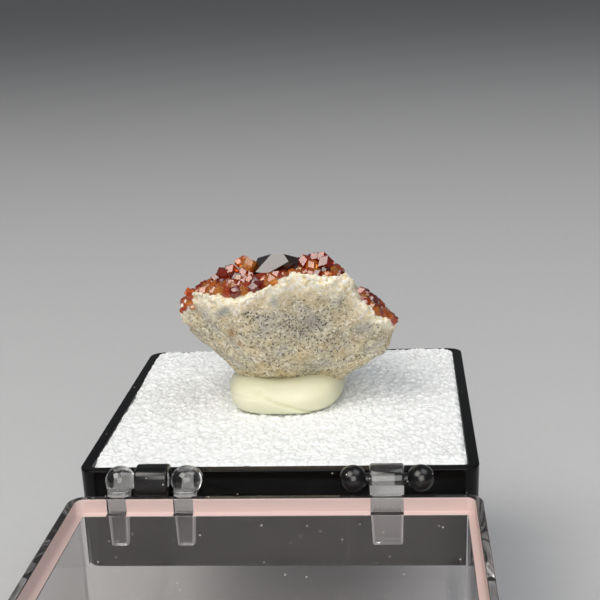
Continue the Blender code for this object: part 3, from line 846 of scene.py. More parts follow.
    def blots(self, smooth: Array, spots: tuple[tuple[float, ...], ...]) -> Array:
        """Soft oval patches on the front face: a bell curve of the distance from each middle.

        Args:
            smooth: the smooth rock.
            spots: middle X and height above the foam, half width, half height, lean in degrees, strength.

        Returns:
            One value a point, 0 to 1.
        """
        x, z = smooth[..., 0] / MM, (smooth[..., 2] - self.foam_top) / MM
        total = np.zeros(x.shape)
        for middle, height, wide, tall, lean, amount in spots:
            c, s = math.cos(math.radians(lean)), math.sin(math.radians(lean))
            along = ((x - middle) * c + (z - height) * s) / wide
            across = ((z - height) * c - (x - middle) * s) / tall
            total = np.maximum(total, amount * np.exp(-(along**2 + across**2)))
        return total * (smooth[..., 1] < 0.5 * MM)

    def rim_share(self, smooth: Array) -> Array:
        """How sugary each place is: 1 on the crown's edge, fading down the front over the rim's depth."""
        x = smooth[..., 0] / MM
        front = np.interp(x, self.STATIONS / MM, self.FRONT / MM)
        drop = front - (smooth[..., 2] - self.foam_top) / MM
        depth = np.interp(x, *self.RIM_DEPTH) * (1 + 0.5 * smooth_noise(smooth, 1.3 * MM, seed=41))
        place = np.arange(self.around) / self.around * 4
        on_front = np.clip(1.35 - drop / depth, 0, 1)
        on_crown = np.clip(2.1 - place, 0, 1)[None]
        return np.where(place[None] <= 1, on_front, on_crown)

    def crack(self, smooth: Array) -> Array:
        """How near each place lies to the hairline crack, from 0 to 1, by distance to its stretches."""
        spot = np.stack([smooth[..., 0] / MM, (smooth[..., 2] - self.foam_top) / MM], -1)
        path = np.array(self.CRACK)
        nearest = np.full(spot.shape[:-1], 9.0)
        for a, b in zip(path, path[1:]):
            share = np.clip(((spot - a) @ (b - a)) / ((b - a) @ (b - a)), 0, 1)
            nearest = np.minimum(nearest, np.linalg.norm(spot - a - share[..., None] * (b - a), axis=-1))
        return np.exp(-((nearest / self.crack_mm) ** 2)) * (smooth[..., 1] < 0)

    def build(self) -> Piece:
        """Builds the rock: the loft, pushed along its normals by ledges, lumps, pits, grains and rim."""
        smooth = self.surface()
        out = self.normals(smooth)
        lumps = smooth_noise(smooth, self.lump_size, seed=11)
        lumps += 0.5 * smooth_noise(smooth, self.lump_size / 2, seed=12)
        pits = smooth_noise(smooth, self.pit_size, seed=13)
        ledge_near, ledge_far, ledge_own = cell_noise(smooth, self.ledge_size, seed=17)
        ledges = (ledge_own - 0.5) * np.clip((ledge_far - ledge_near) / 0.12, 0, 1)
        near, far, own = cell_noise(smooth, self.grain_size, seed=21)
        grains = np.clip(far - near, 0, 0.5) * 2 * (0.2 + 1.2 * own)
        fine_near, fine_far, fine_own = cell_noise(smooth, self.grain_size / 2, seed=25)
        fine = np.clip(fine_far - fine_near, 0, 0.5) * (0.3 + fine_own)
        big_near, big_far, big_own = cell_noise(smooth, self.sugar_size, seed=31)
        sugar = np.clip(big_far - big_near, 0, 0.4) / 0.4 * (0.2 + big_own)
        sugar += 0.8 * smooth_noise(smooth, self.sugar_size * 0.6, seed=37)
        rust, cool = self.blots(smooth, self.RUST), self.blots(smooth, self.COOL)
        rim = self.rim_share(smooth) * (1 - 0.75 * np.maximum(rust, cool))
        crack = self.crack(smooth)
        smoke = self.blots(smooth, self.SMOKE) * (0.75 + 0.5 * smooth_noise(smooth, 0.8 * MM, seed=43))
        push = self.lump_height * lumps + self.pit_height * pits + self.ledge_height * ledges
        push += self.grain_height * (grains + 0.7 * fine)
        push += self.sugar_height * sugar * rim - self.crack_depth * crack - self.sink
        self.grid = smooth + out * push[..., None]
        self.soft_out = out
        piece = tube("rock", self.grid)
        # The crack adds painted shade to the smoke mark: greyer, with more dark specks, along the crack.
        marks = {"rim": rim, "smoke": np.clip(smoke + crack, 0, 1), "rust": rust, "cool": cool}
        for name, values in marks.items():
            give_attribute(piece, name, np.concatenate([values.ravel(), [0.0, 0.0]]))
        return piece

    def crown_places(self) -> tuple[Array, Array]:
        """The places and normals of the crown, both halves, flattened."""
        quarter = self.around // 4
        part = slice(quarter, 3 * quarter)
        return self.grid[:, part].reshape(-1, 3), self.soft_out[:, part].reshape(-1, 3)


def turn_to_light(draw: np.random.Generator, wobble: Array) -> Array:
    """The turn that points one rhomb face towards the light, off it by wobble, its long diagonal drawn.

    Args:
        draw: the random source.
        wobble: what is added to the direction.

    Returns:
        3 by 3.
    """
    out = np.array(TOWARDS_LIGHT) + wobble
    out /= np.linalg.norm(out)
    long_axis = draw.normal(size=3)
    along = long_axis - out * np.dot(long_axis, out)
    along /= np.linalg.norm(along)
    half = math.sqrt(0.5)
    rhomb = np.array([(half, half, 0), (half, -half, 0), (0, 0, -1)])
    return np.stack([out, along, np.cross(out, along)], axis=1) @ rhomb


@dataclass
class GarnetPatch:
    """Garnets grown together over one stretch of the crown."""

    name: str
    node: str
    bounds: Pair
    front_edge: tuple[tuple[float, ...], tuple[float, ...]]
    back_edge: tuple[tuple[float, ...], tuple[float, ...]]
    count: int
    sizes: Pair
    spacing: float
    tone: Pair
    seed: int
    lift: float = 0.35
    skew: float = 1.6
    parallel: float = 0.24
    wobble: float = 0.17

    def inside(self, places: Array) -> Array:
        """Which places the patch covers: between its ends, and between its front and back edges."""
        x, y = places[:, 0] / MM, places[:, 1] / MM
        front = np.interp(x, *self.front_edge)
        back = np.interp(x, *self.back_edge)
        wander = 0.35 * smooth_noise(places, 1.1 * MM, self.seed)
        return (x > self.bounds[0]) & (x < self.bounds[1]) & (y > front + wander) & (y < back + wander)

    def build(self, rock: Rock, forms: list[CrystalForm], blocked: list[tuple[Array, float]]) -> Piece:
        """Scatters crystals over the patch, big ones first and a little apart; a share grow nearly parallel.

        Args:
            rock: what they grow on.
            forms: the habits.
            blocked: places and radii of crystals given one by one.

        Returns:
            The piece.
        """
        draw = np.random.default_rng(self.seed)
        places, out = rock.crown_places()
        keep = self.inside(places)
        places, out = places[keep], out[keep]
        picks = draw.permutation(len(places))[: self.count * 12]
        radii = self.sizes[0] + (self.sizes[1] - self.sizes[0]) * draw.random(len(picks)) ** self.skew
        radii = -np.sort(-radii) * MM
        taken = np.array([spot for spot, _ in blocked]).reshape(-1, 3)
        taken_radii = np.array([radius for _, radius in blocked])
        chosen = []
        for pick, radius in zip(picks, radii):
            gap = np.linalg.norm(taken - places[pick], axis=1)
            if len(taken) and (gap < self.spacing * (taken_radii + radius)).any():
                continue
            chosen.append((pick, radius))
            taken = np.vstack([taken, places[pick]])
            taken_radii = np.append(taken_radii, radius)
            if len(chosen) == self.count:
                break
        index = np.array([pick for pick, _ in chosen])
        size = np.array([radius for _, radius in chosen])
        centres = places[index] + out[index] * (size * self.lift)[:, None]
        tones = draw.uniform(*self.tone, len(index))
        kinds = draw.choice(3, len(index), p=[0.5, 0.25, 0.25])
        turns = random_turns(draw, len(index))
        for k in np.flatnonzero(draw.random(len(index)) < self.parallel):
            turns[k] = turn_to_light(draw, draw.normal(0, self.wobble, 3))
        piece = crystal_cloud(self.name, forms, kinds, centres, size, turns, tones)
        LOG.info("%s: %d crystals", self.name, len(index))
        return piece


@dataclass
class HeroCrystals:
    """The single large crystals of the crown, given one by one."""

    foam_top: float

    MAIN_TONE = 0.9
    MAIN_ROOM = 1.6
    MAIN_MIDDLE = (-0.853, 0.576, 12.243)
    MAIN_FACES = (
        (-0.180, -0.780, 0.600, 1.250), (0.065, 0.416, 0.907, 1.172), (0.636, -0.219, 0.740, 1.640),
        (0.294, -0.917, -0.270, 1.090), (-0.297, -0.872, -0.389, 1.508), (-0.645, -0.189, 0.739, 1.470),
        (-0.931, 0.050, 0.361, 2.120), (0.801, -0.100, 0.591, 1.860), (0.100, 0.752, 0.652, 1.580),
        (0.0, 0.949, -0.316, 1.857), (0.0, 0.196, -0.981, 1.408), (0.973, 0.102, -0.205, 1.640),
        (-0.949, 0.100, -0.300, 1.980),
    )
    CROWN = (
        (-3.5, 1.0, 12.55, 0.6, 0.05, 0.0), (-3.95, 1.6, 12.95, 0.36, 0.25, 0.5),
        (-4.4, 1.6, 12.7, 0.36, 0.3, 0.7), (-5.12, 1.1, 12.05, 0.56, 0.5, 1.0),
        (-5.75, 0.9, 11.8, 0.56, 0.72, 0.2), (-6.45, 0.8, 11.45, 0.42, 0.7, 1.0),
        (-6.85, 0.8, 10.95, 0.4, 0.5, 0.6), (-7.36, 0.5, 10.45, 0.42, 0.6, 0.4),
        (-3.1, 0.0, 11.72, 0.46, 0.55, 1.0), (-3.9, 0.6, 11.85, 0.5, 0.55, 1.0),
        (-3.1, -1.37, 11.65, 0.48, 0.45, 1.0), (-3.75, -1.2, 11.55, 0.36, 0.55, 1.0),
        (-4.74, -1.04, 11.4, 0.4, 0.5, 1.0), (-5.4, -0.9, 11.25, 0.36, 0.05, 0.0),
        (-4.3, -0.2, 11.6, 0.36, 0.1, 0.0), (-4.3, -2.3, 11.15, 0.34, 0.3, 0.0),
        (-3.8, -2.0, 11.35, 0.32, 0.15, 0.2), (-1.16, -1.15, 11.8, 0.42, 0.35, 0.2),
        (-0.6, -1.0, 12.05, 0.32, 0.4, 1.0), (-2.33, -0.8, 11.7, 0.32, 0.5, 0.6),
        (-1.95, -1.5, 11.78, 0.32, 0.45, 1.0), (-0.7, -4.3, 12.2, 0.32, 0.0, 0.2),
        (-5.9, -0.2, 11.35, 0.4, 0.8, 0.3), (-4.6, 0.2, 11.7, 0.46, 0.85, 0.2),
        (-5.2, -2.1, 11.05, 0.34, 0.35, 0.4), (-6.2, -1.3, 11.0, 0.34, 0.45, 0.7),
        (-1.6, -2.6, 11.75, 0.3, 0.2, 0.3), (-8.66, -0.95, 10.7, 0.33, 0.35, 0.3),
        (-8.52, -1.72, 10.42, 0.3, 0.05, 0.0), (-8.46, -1.93, 10.02, 0.3, 0.2, 0.3),
        (-8.27, -1.92, 9.62, 0.25, 0.0, 0.0), (-8.78, -1.72, 9.72, 0.28, 0.45, 0.5),
        (-9.04, -1.4, 9.42, 0.29, 0.6, 0.3), (-9.28, -1.25, 9.12, 0.25, 0.5, 0.4),
        (-8.4, 0.3, 10.25, 0.44, 0.45, 0.4), (0.95, 1.5, 12.55, 0.4, 0.75, 0.9),
        (0.2, 0.1, 12.4, 0.42, 1.0, 0.2), (3.0, 2.2, 12.86, 0.46, 0.65, 1.0),
        (3.36, 1.3, 12.5, 0.66, 0.75, 0.9), (2.31, 2.3, 12.75, 0.52, 0.75, 0.3),
        (1.47, 1.5, 12.6, 0.58, 0.6, 1.0), (0.97, 1.1, 12.3, 0.42, 0.7, 0.2),
        (2.14, 0.9, 12.42, 0.44, 0.15, 0.0), (0.28, 0.5, 12.26, 0.36, 0.1, 0.0),
        (0.93, 0.2, 12.15, 0.42, 0.05, 0.2), (3.3, 0.0, 12.05, 0.5, 0.95, 0.4),
        (4.0, 0.9, 11.9, 0.4, 0.05, 0.0), (3.65, -1.2, 12.05, 0.34, 0.1, 0.0),
        (2.8, -0.5, 11.95, 0.42, 0.8, 0.5), (6.42, 1.6, 9.75, 0.42, 0.5, 1.0),
        (6.62, 0.3, 9.45, 0.36, 0.15, 0.1), (7.03, 1.8, 9.05, 0.42, 0.8, 0.4),
        (7.6, 1.4, 8.65, 0.38, 0.55, 1.0), (7.8, 0.4, 8.45, 0.46, 0.45, 0.4),
        (8.38, 0.8, 8.05, 0.46, 0.35, 0.3), (8.72, -0.1, 7.62, 0.42, 0.05, 0.0),
        (8.13, -1.3, 8.22, 0.28, 0.2, 0.2), (6.75, -0.6, 9.15, 0.34, 0.25, 0.5),
    )

    def main_crystal(self) -> Piece:
        """The big dark crystal: a flattened dodecahedron from its own face planes, leaning on the crust."""
        planes = np.array(self.MAIN_FACES)
        form = CrystalForm(planes[:, :3] / np.linalg.norm(planes[:, :3], axis=1)[:, None], planes[:, 3])
        middle = np.array([self.MAIN_MIDDLE]) * MM + np.array([0, 0, self.foam_top])
        return crystal_cloud(
            "garnet_main_crystal", [form], np.array([0]), middle, np.array([MM]), np.eye(3)[None],
            np.array([self.MAIN_TONE]),
        )

    def crown_crystals(self, forms: list[CrystalForm]) -> Piece:
        """The listed crystals, those with shine turned by that share to face the light, the rest at random.

        Args:
            forms: the habits.

        Returns:
            The piece.
        """
        rows = np.array(self.CROWN)
        turns = random_turns(np.random.default_rng(23), len(rows))
        kinds = np.zeros(len(rows), int)
        for k, shine in enumerate(rows[:, 5]):
            own = np.random.default_rng(int(abs(rows[k, :3]).sum() * 100))
            kinds[k] = own.choice(3, p=[0.6, 0.25, 0.15])
            wobble = own.normal(0, 0.05 + 0.35 * (1 - shine), 3)
            if shine > 0:
                turns[k] = turn_to_light(own, wobble)
        kinds[rows[:, 5] == 1] = 0
        centres = rows[:, :3] * MM + np.array([0, 0, self.foam_top])
        return crystal_cloud("garnets_large", forms, kinds, centres, rows[:, 3] * MM, turns, rows[:, 4])

    def blocked(self) -> list[tuple[Array, float]]:
        """Places and radii that small crystals keep clear of."""
        lift = np.array([0, 0, self.foam_top])
        rows = [(*self.MAIN_MIDDLE, self.MAIN_ROOM)] + [row[:4] for row in self.CROWN]
        return [(np.array(row[:3]) * MM + lift, row[3] * MM * 0.6) for row in rows]


@dataclass
class Foam:
    """The foam block: a field of beads over a plain block that fills the tray."""

    half: float
    bottom: float
    top: float
    points: int = 308
    bead: float = 0.56 * MM
    bead_height: float = 0.2 * MM
    rise: float = 0.12 * MM
    back_rise: float = 0.28 * MM
    drift_size: float = 0.6 * MM
    fine_height: float = 0.07 * MM
    swell_size: float = 3.5 * MM
    swell_height: float = 0.07 * MM
    crumble: float = 0.9 * MM
    crumb_size: float = 0.9 * MM
    crumbled: float = 2.2 * MM
    edge_drop: float = 0.16 * MM
    edge_width: float = 0.18 * MM
    sink: float = 0.12 * MM

    def build(self) -> Piece:
        """Builds the block: a height field of rounded beads, each at its own height, with a skirt and a foot.

        Returns:
            The piece.
        """
        n = self.points
        line = np.linspace(-self.half, self.half, n)
        x, y = np.meshgrid(line, line, indexing="ij")
        flat = np.stack([x, y, np.zeros_like(x)], -1)
        drift_x, drift_y = (smooth_noise(flat, self.drift_size, seed) for seed in (51, 52))
        drift = 0.25 * self.bead * np.stack([drift_x, drift_y, np.zeros_like(x)], -1)
        stretch = np.array([1.15, 0.85, 1.0])
        near, far, own = cell_noise((flat + drift) * stretch, self.bead, seed=53)
        dome = np.clip(far - near, 0, 0.5) * 2
        fine_near, fine_far, fine_own = cell_noise(flat + drift, self.bead * 0.55, seed=57)
        height = self.bead_height * (np.sqrt(dome) * 0.75 + 0.9 * (own - 0.5))
        height += self.fine_height * np.clip(fine_far - fine_near, 0, 0.5) * 2 * fine_own
        height += self.swell_height * smooth_noise(flat, self.swell_size, seed=61)
        side = self.half - np.maximum(np.abs(x), np.abs(y))
        past = np.clip(np.abs(flat[..., :2]) - self.half + self.crumbled, 0, None)
        corner = np.hypot(past[..., 0], past[..., 1])
        worn = np.clip(corner / self.crumbled - 0.85, 0, 1)
        height -= self.crumble * worn * (0.8 + 0.5 * smooth_noise(flat, self.crumb_size, seed=63))
        height -= self.edge_drop * np.exp(-side / self.edge_width)
        z = self.top + self.rise + self.back_rise * np.clip(y / self.half, 0, 1) - self.sink + height
        field = np.stack([x, y, z], -1)
        up, down = np.arange(n - 1), np.arange(n - 1, 0, -1)
        first, last = np.zeros(n - 1, int), np.full(n - 1, n - 1)
        row, column = np.concatenate([up, last, down, first]), np.concatenate([first, up, last, down])
        border = row * n + column
        foot = field[row, column].copy()
        foot[:, 2] = self.bottom
        points = np.concatenate([field.reshape(-1, 3), foot])
        j = np.arange(len(border))
        after = (j + 1) % len(border)
        skirt = np.stack([border[j], border[after], n * n + after, n * n + j], -1)
        quads = np.concatenate([grid_faces(n, n, False, False), skirt[:, ::-1]])
        piece = mesh_object("foam_beads", points, [quads, (n * n + j)[None]])
        # Painted shade in the hollows between beads, strongest where the domes meet.
        painted_seam_shade = np.clip(1 - dome * 2.2, 0, 1)
        give_attribute(piece, "painted_seam_shade", np.concatenate([painted_seam_shade.ravel(), np.zeros(len(border))]))
        return piece


@dataclass
class Putty:
    """The squashed roll of putty between foam and rock, with the fold of its last roll."""

    foam_top: float
    middle: Pair = (-0.6 * MM, 0.6 * MM)
    width: float = 10.3 * MM
    depth: float = 9.5 * MM
    height: float = 2.95 * MM

    def build(self) -> Piece:
        """Builds the roll: an oval cushion, its radius eased by waves, a slanting fold and a dimple.

        Returns:
            The piece.
        """
        angle = np.linspace(0, 2 * np.pi, 220, endpoint=False)[None]
        lean = np.linspace(-1, 1, 120)[1:-1, None] * np.pi / 2
        up = np.sin(lean)
        reach = np.cos(lean) ** np.where(lean > 0, 0.45, 0.24)
        plan = squared(np.cos(angle), np.sin(angle), 2.8)
        across, deep = reach * plan * np.cos(angle), reach * plan * np.sin(angle)
        up = np.broadcast_to(up, across.shape)
        swell = 1 + 0.025 * np.sin(3 * angle + 0.6) + 0.015 * np.sin(5 * angle)
        line = (up + 1.58 * across) / 1.87
        front = 1 / (1 + np.exp(deep * 14))
        span = np.exp(-(((across - 0.2) / 0.5) ** 4))
        fold = (0.028 * np.tanh(line / 0.07) + 0.028 * np.exp(-((line / 0.06) ** 2))) * span
        upper = up - 0.35 * across - 0.45
        fold = fold + 0.014 * np.exp(-((upper / 0.1) ** 2)) * (across < 0.1)
        dimple = 0.09 * np.exp(-(((across + 0.42) / 0.09) ** 2) - ((up - 0.62) / 0.2) ** 2)
        scale = swell - (fold + dimple) * front
        x = self.middle[0] + across * scale * self.width / 2
        y = self.middle[1] + deep * scale * self.depth / 2
        sag = 1 - 0.12 * np.exp(-((across / 0.5) ** 2)) + 0.05 * across**2
        z = self.foam_top + self.height * (0.5 + 0.5 * up) ** 1.1 * np.where(deep < 0, sag, 1.0)
        points = np.stack([x, y, z], -1)
        points[..., 2] += 0.03 * MM * smooth_noise(points, 1.6 * MM, seed=71)
        z_low = self.foam_top - 0.1 * MM
        points[..., 2] = np.maximum(points[..., 2], z_low)
        piece = tube("putty_roll", points)
        # Painted shade along the crease of the fold, on the front only.
        painted_crease_shade = np.exp(-((line / 0.06) ** 2)) * front * span * 0.4
        give_attribute(piece, "fold", np.concatenate([painted_crease_shade.ravel(), [0, 0]]))
        return piece


@dataclass
class HingeLine:
    """Where the hinge lies and how big its moulded bits are."""

    axis_y: float
    axis_z: float
    left_x: float = -9.55 * MM
    right_x: float = 8.65 * MM
    knob_offset: float = 2.6 * MM
    leg_rise: float = 0.4 * MM
    barrel_radius: float = 1.2 * MM
    barrel_length: float = 2.64 * MM
    tray_knob: float = 1.09 * MM
    pin_length: float = 0.9 * MM
    pin_radius: float = 0.45 * MM
    lid_knob: float = 1.17 * MM

    def ball(self, x: float, radius: float, nose: float = 1.0) -> Shell:
        """A ball on the axis, from sines and cosines of two angles, its right half drawn out by nose."""
        lean = np.linspace(0.04, np.pi - 0.04, 30)[:, None]
        angle = np.linspace(0, 2 * np.pi, 48, endpoint=False)[None]
        rings = np.stack([
            x + radius * np.cos(lean) * np.where(np.cos(lean) > 0, nose, 1.0) + 0 * angle,
            self.axis_y + radius * np.sin(lean) * np.cos(angle),
            self.axis_z + radius * np.sin(lean) * np.sin(angle),
        ], -1)
        return tube_arrays(rings)

    def barrel(self, x: float, length: float, radius: float, squareness: float, edge: float) -> Shell:
        """A barrel along X: a circle pulled towards a square by its exponent, with rounded ends.

        Args:
            x: its middle.
            length: end to end.
            radius: half its height.
            squareness: exponent, 2 for round.
            edge: rounding of the ends.

        Returns:
            Points and faces.
        """
        angle = np.linspace(0, 2 * np.pi, 64, endpoint=False)
        c, s = np.cos(angle), np.sin(angle)
        size = squared(c, s, squareness)
        turn = np.linspace(0, np.pi / 2, 6)
        ends = [(-length / 2 + edge * (1 - np.sin(t)), radius - edge * (1 - np.cos(t))) for t in turn[::-1]]
        stops = [(-length / 2 + edge * 0.05, radius * 0.35)] + [(px, r) for px, r in ends]
        stops = stops + [(-px, r) for px, r in stops[::-1]]
        rings = np.array([
            np.column_stack([np.full(64, x + px), self.axis_y + r * size * c, self.axis_z + r * size * s])
            for px, r in stops
        ])
        return tube_arrays(rings)

    def bar(
        self, x: float, width: float, y: Pair, z: Pair,
        end_width: float | None = None, end_y: float | None = None, edge: float = 0.1 * MM,
    ) -> Shell:
        """A rounded bar between two heights, tapering to its lower end in width and thickness.

        Args:
            x: its middle.
            width: at the top.
            y: back and front face at the top.
            z: top and bottom.
            end_width: at the bottom.
            end_y: the front face at the bottom.
            edge: rounding.

        Returns:
            Points and faces.
        """
        end_width = width if end_width is None else end_width
        end_y = y[1] if end_y is None else end_y
        angle = np.linspace(0, 2 * np.pi, 40, endpoint=False)
        c, s = np.cos(angle), np.sin(angle)
        size = squared(c, s, 8)
        share = np.concatenate([[0, 0.0], np.linspace(0, 1, 36), [1.0, 1]])
        shrink = np.concatenate([[edge * 2.2, edge], np.zeros(36), [edge, edge * 2.2]])
        rings = []
        for k, (t, cut) in enumerate(zip(share, shrink)):
            half_w = (width + (end_width - width) * t) / 2 - cut
            front = y[1] + (end_y - y[1]) * t
            half_y = (front - y[0]) / 2 - cut
            height = z[0] + (z[1] - z[0]) * t - math.copysign(edge, z[0] - z[1]) * (1 if k == 1 else 0)
            rings.append(np.column_stack([
                x + half_w * size * c, (front + y[0]) / 2 + half_y * size * s, np.full(40, height)
            ]))
        return tube_arrays(np.array(rings))

    def strap(
        self, x: float, width: float, end_width: float, back: float, low: float, end: float,
        edge: float = 0.2 * MM,
    ) -> Shell:
        """The strap and its loop as one outline, carried along X: over the axis, then down to a thin end.

        Args:
            x: its middle.
            width: at the loop.
            end_width: at the lower end.
            back: Y of its back.
            low: Z of its lower end.
            end: thickness at the lower end.
            edge: rounding of its sides.

        Returns:
            Points and faces.
        """
        r = self.barrel_radius
        over = np.radians(np.linspace(178, -105, 48))
        loop = np.column_stack([self.axis_y + r * np.cos(over), self.axis_z + r * np.sin(over)])
        share = np.linspace(0, 1, 16)[1:, None]
        front = loop[-1] * (1 - share) + np.array([back + end, low + edge]) * share
        foot = np.array([[back + end - edge, low], [back + 0.5 * end, low], [back, low]])
        rise = np.linspace(low, self.axis_z - self.leg_rise, 18)[1:]
        outline = np.concatenate([loop, front, foot, np.column_stack([np.full(17, back), rise])])
        middle = np.array([back + 0.5 * MM, self.axis_z - 0.7 * MM])
        drop = np.clip((self.axis_z - outline[:, 1]) / (self.axis_z - low), 0, 1)
        half = (width + (end_width - width) * drop) / 2
        rings = []
        for side, turn in [(-1, t) for t in (0, 30, 60, 90)] + [(1, t) for t in (90, 60, 30, 0)]:
            out, pull = math.sin(math.radians(90 - turn)), 1 - math.sin(math.radians(turn))
            inward = middle - outline
            inward /= np.linalg.norm(inward, axis=1)[:, None]
            flat = outline + inward * edge * pull
            rings.append(np.column_stack([x + side * (half - edge + edge * (out if turn else 1.0)), flat]))
        return tube_arrays(np.array(rings), (middle[0], middle[1]))

    def edge_glow(self, bits: Piece, legs: tuple[Spot, ...], low: float, band: Pair) -> Array:
        """How much painted glow the legs get, standing in for the light they gather: full at each leg's
        sides, half where a leg crosses the lip.

        Args:
            bits: the moulded bits.
            legs: X and half width at the axis and at the end, for each leg.
            low: Z of the legs' ends.
            band: lowest and highest Z of the lip.

        Returns:
            One value a vertex.
        """
        spots = np.empty(len(bits.data.vertices) * 3, np.float32)
        bits.data.vertices.foreach_get("co", spots)
        spots = spots.reshape(-1, 3)
        glow = np.zeros(len(spots))
        drop = np.clip((self.axis_z - spots[:, 2]) / (self.axis_z - low), 0, 1)
        for middle, top, end in legs:
            side = np.abs(spots[:, 0] - middle) / (top + (end - top) * drop)
            own = 0.9 * np.clip((side - 0.8) / 0.1, 0, 1)
            own = np.maximum(own, 0.65 * ((spots[:, 2] > band[0]) & (spots[:, 2] < band[1])))
            glow = np.maximum(glow, np.where(side < 1.1, own, 0))
        return glow * (spots[:, 2] < band[1])


@dataclass
class Tray:
    """The black tray with its moulded hinge bits."""

    hinge: HingeLine
    half: float = 15.875 * MM
    corner: float = 1.3 * MM
    height: float = 8.2 * MM
    wall: float = 0.92 * MM
    floor: float = 1.0 * MM
    draft: float = 0.2 * MM
    pin_in: float = 0.95 * MM

    def shell(self) -> Piece:
        """The tray's wall profile carried round a rounded square, closed at the floor.

        Returns:
            The piece.
        """
        edge, lip = 0.25 * MM, 0.1 * MM
        profile = [(self.half * 0.5, 0.0), (self.draft + edge + 0.4 * MM, 0.0)]
        profile += [(self.draft + i, h) for i, h in edge_arc((edge, edge), edge, 270, 180)]
        profile += [(self.draft * 0.9, 1.2 * MM), (0.02 * MM, self.height - 0.5 * MM)]
        profile += rim_arcs(self.wall, self.height, lip)
        profile += [(self.wall + 0.03 * MM, self.height - 0.6 * MM)]
        profile += [(self.wall + 0.1 * MM, self.floor + 0.2 * MM)]
        profile += [(self.wall + 0.3 * MM, self.floor), (self.half * 0.5, self.floor)]
        piece = tube("tray_shell", box_shell(self.half, self.corner, profile, 0.0))
        even_normals(piece)
        return piece

    def hinge_bits(self) -> Piece:
        """The loop of the left hinge and the two knobs of the right one, each on its web to the wall."""
        h = self.hinge
        inside = -self.half + 0.4 * MM
        parts = [h.barrel(h.left_x, h.barrel_length, h.barrel_radius, 2.9, 0.22 * MM)]
        parts.append(self.web(h.left_x, h.barrel_length - 0.3 * MM, inside, 1.05 * MM, 0.3 * MM))
        for side in (-1, 1):
            x = h.right_x + side * h.knob_offset
            parts.append(h.ball(x, h.tray_knob))
            parts.append(self.web(x, 1.0 * MM, inside, 0.7 * MM, 0.15 * MM))
        for side in (-1, 1):
            x = h.right_x + side * (h.knob_offset - self.pin_in)
            parts.append(h.barrel(x, h.pin_length, h.pin_radius, 2.0, 0.08 * MM))
        return joined("tray_hinge_bits", parts)

    def web(self, x: float, width: float, inside: float, below: float, above: float) -> Shell:
        """A small block from the axis back into the wall."""
        h = self.hinge
        return h.bar(x, width, (h.axis_y, inside), (h.axis_z + above, h.axis_z - below), edge=0.08 * MM)

    def build(self) -> list[Piece]:
        """Builds both pieces of the tray."""
        return [self.shell(), self.hinge_bits()]


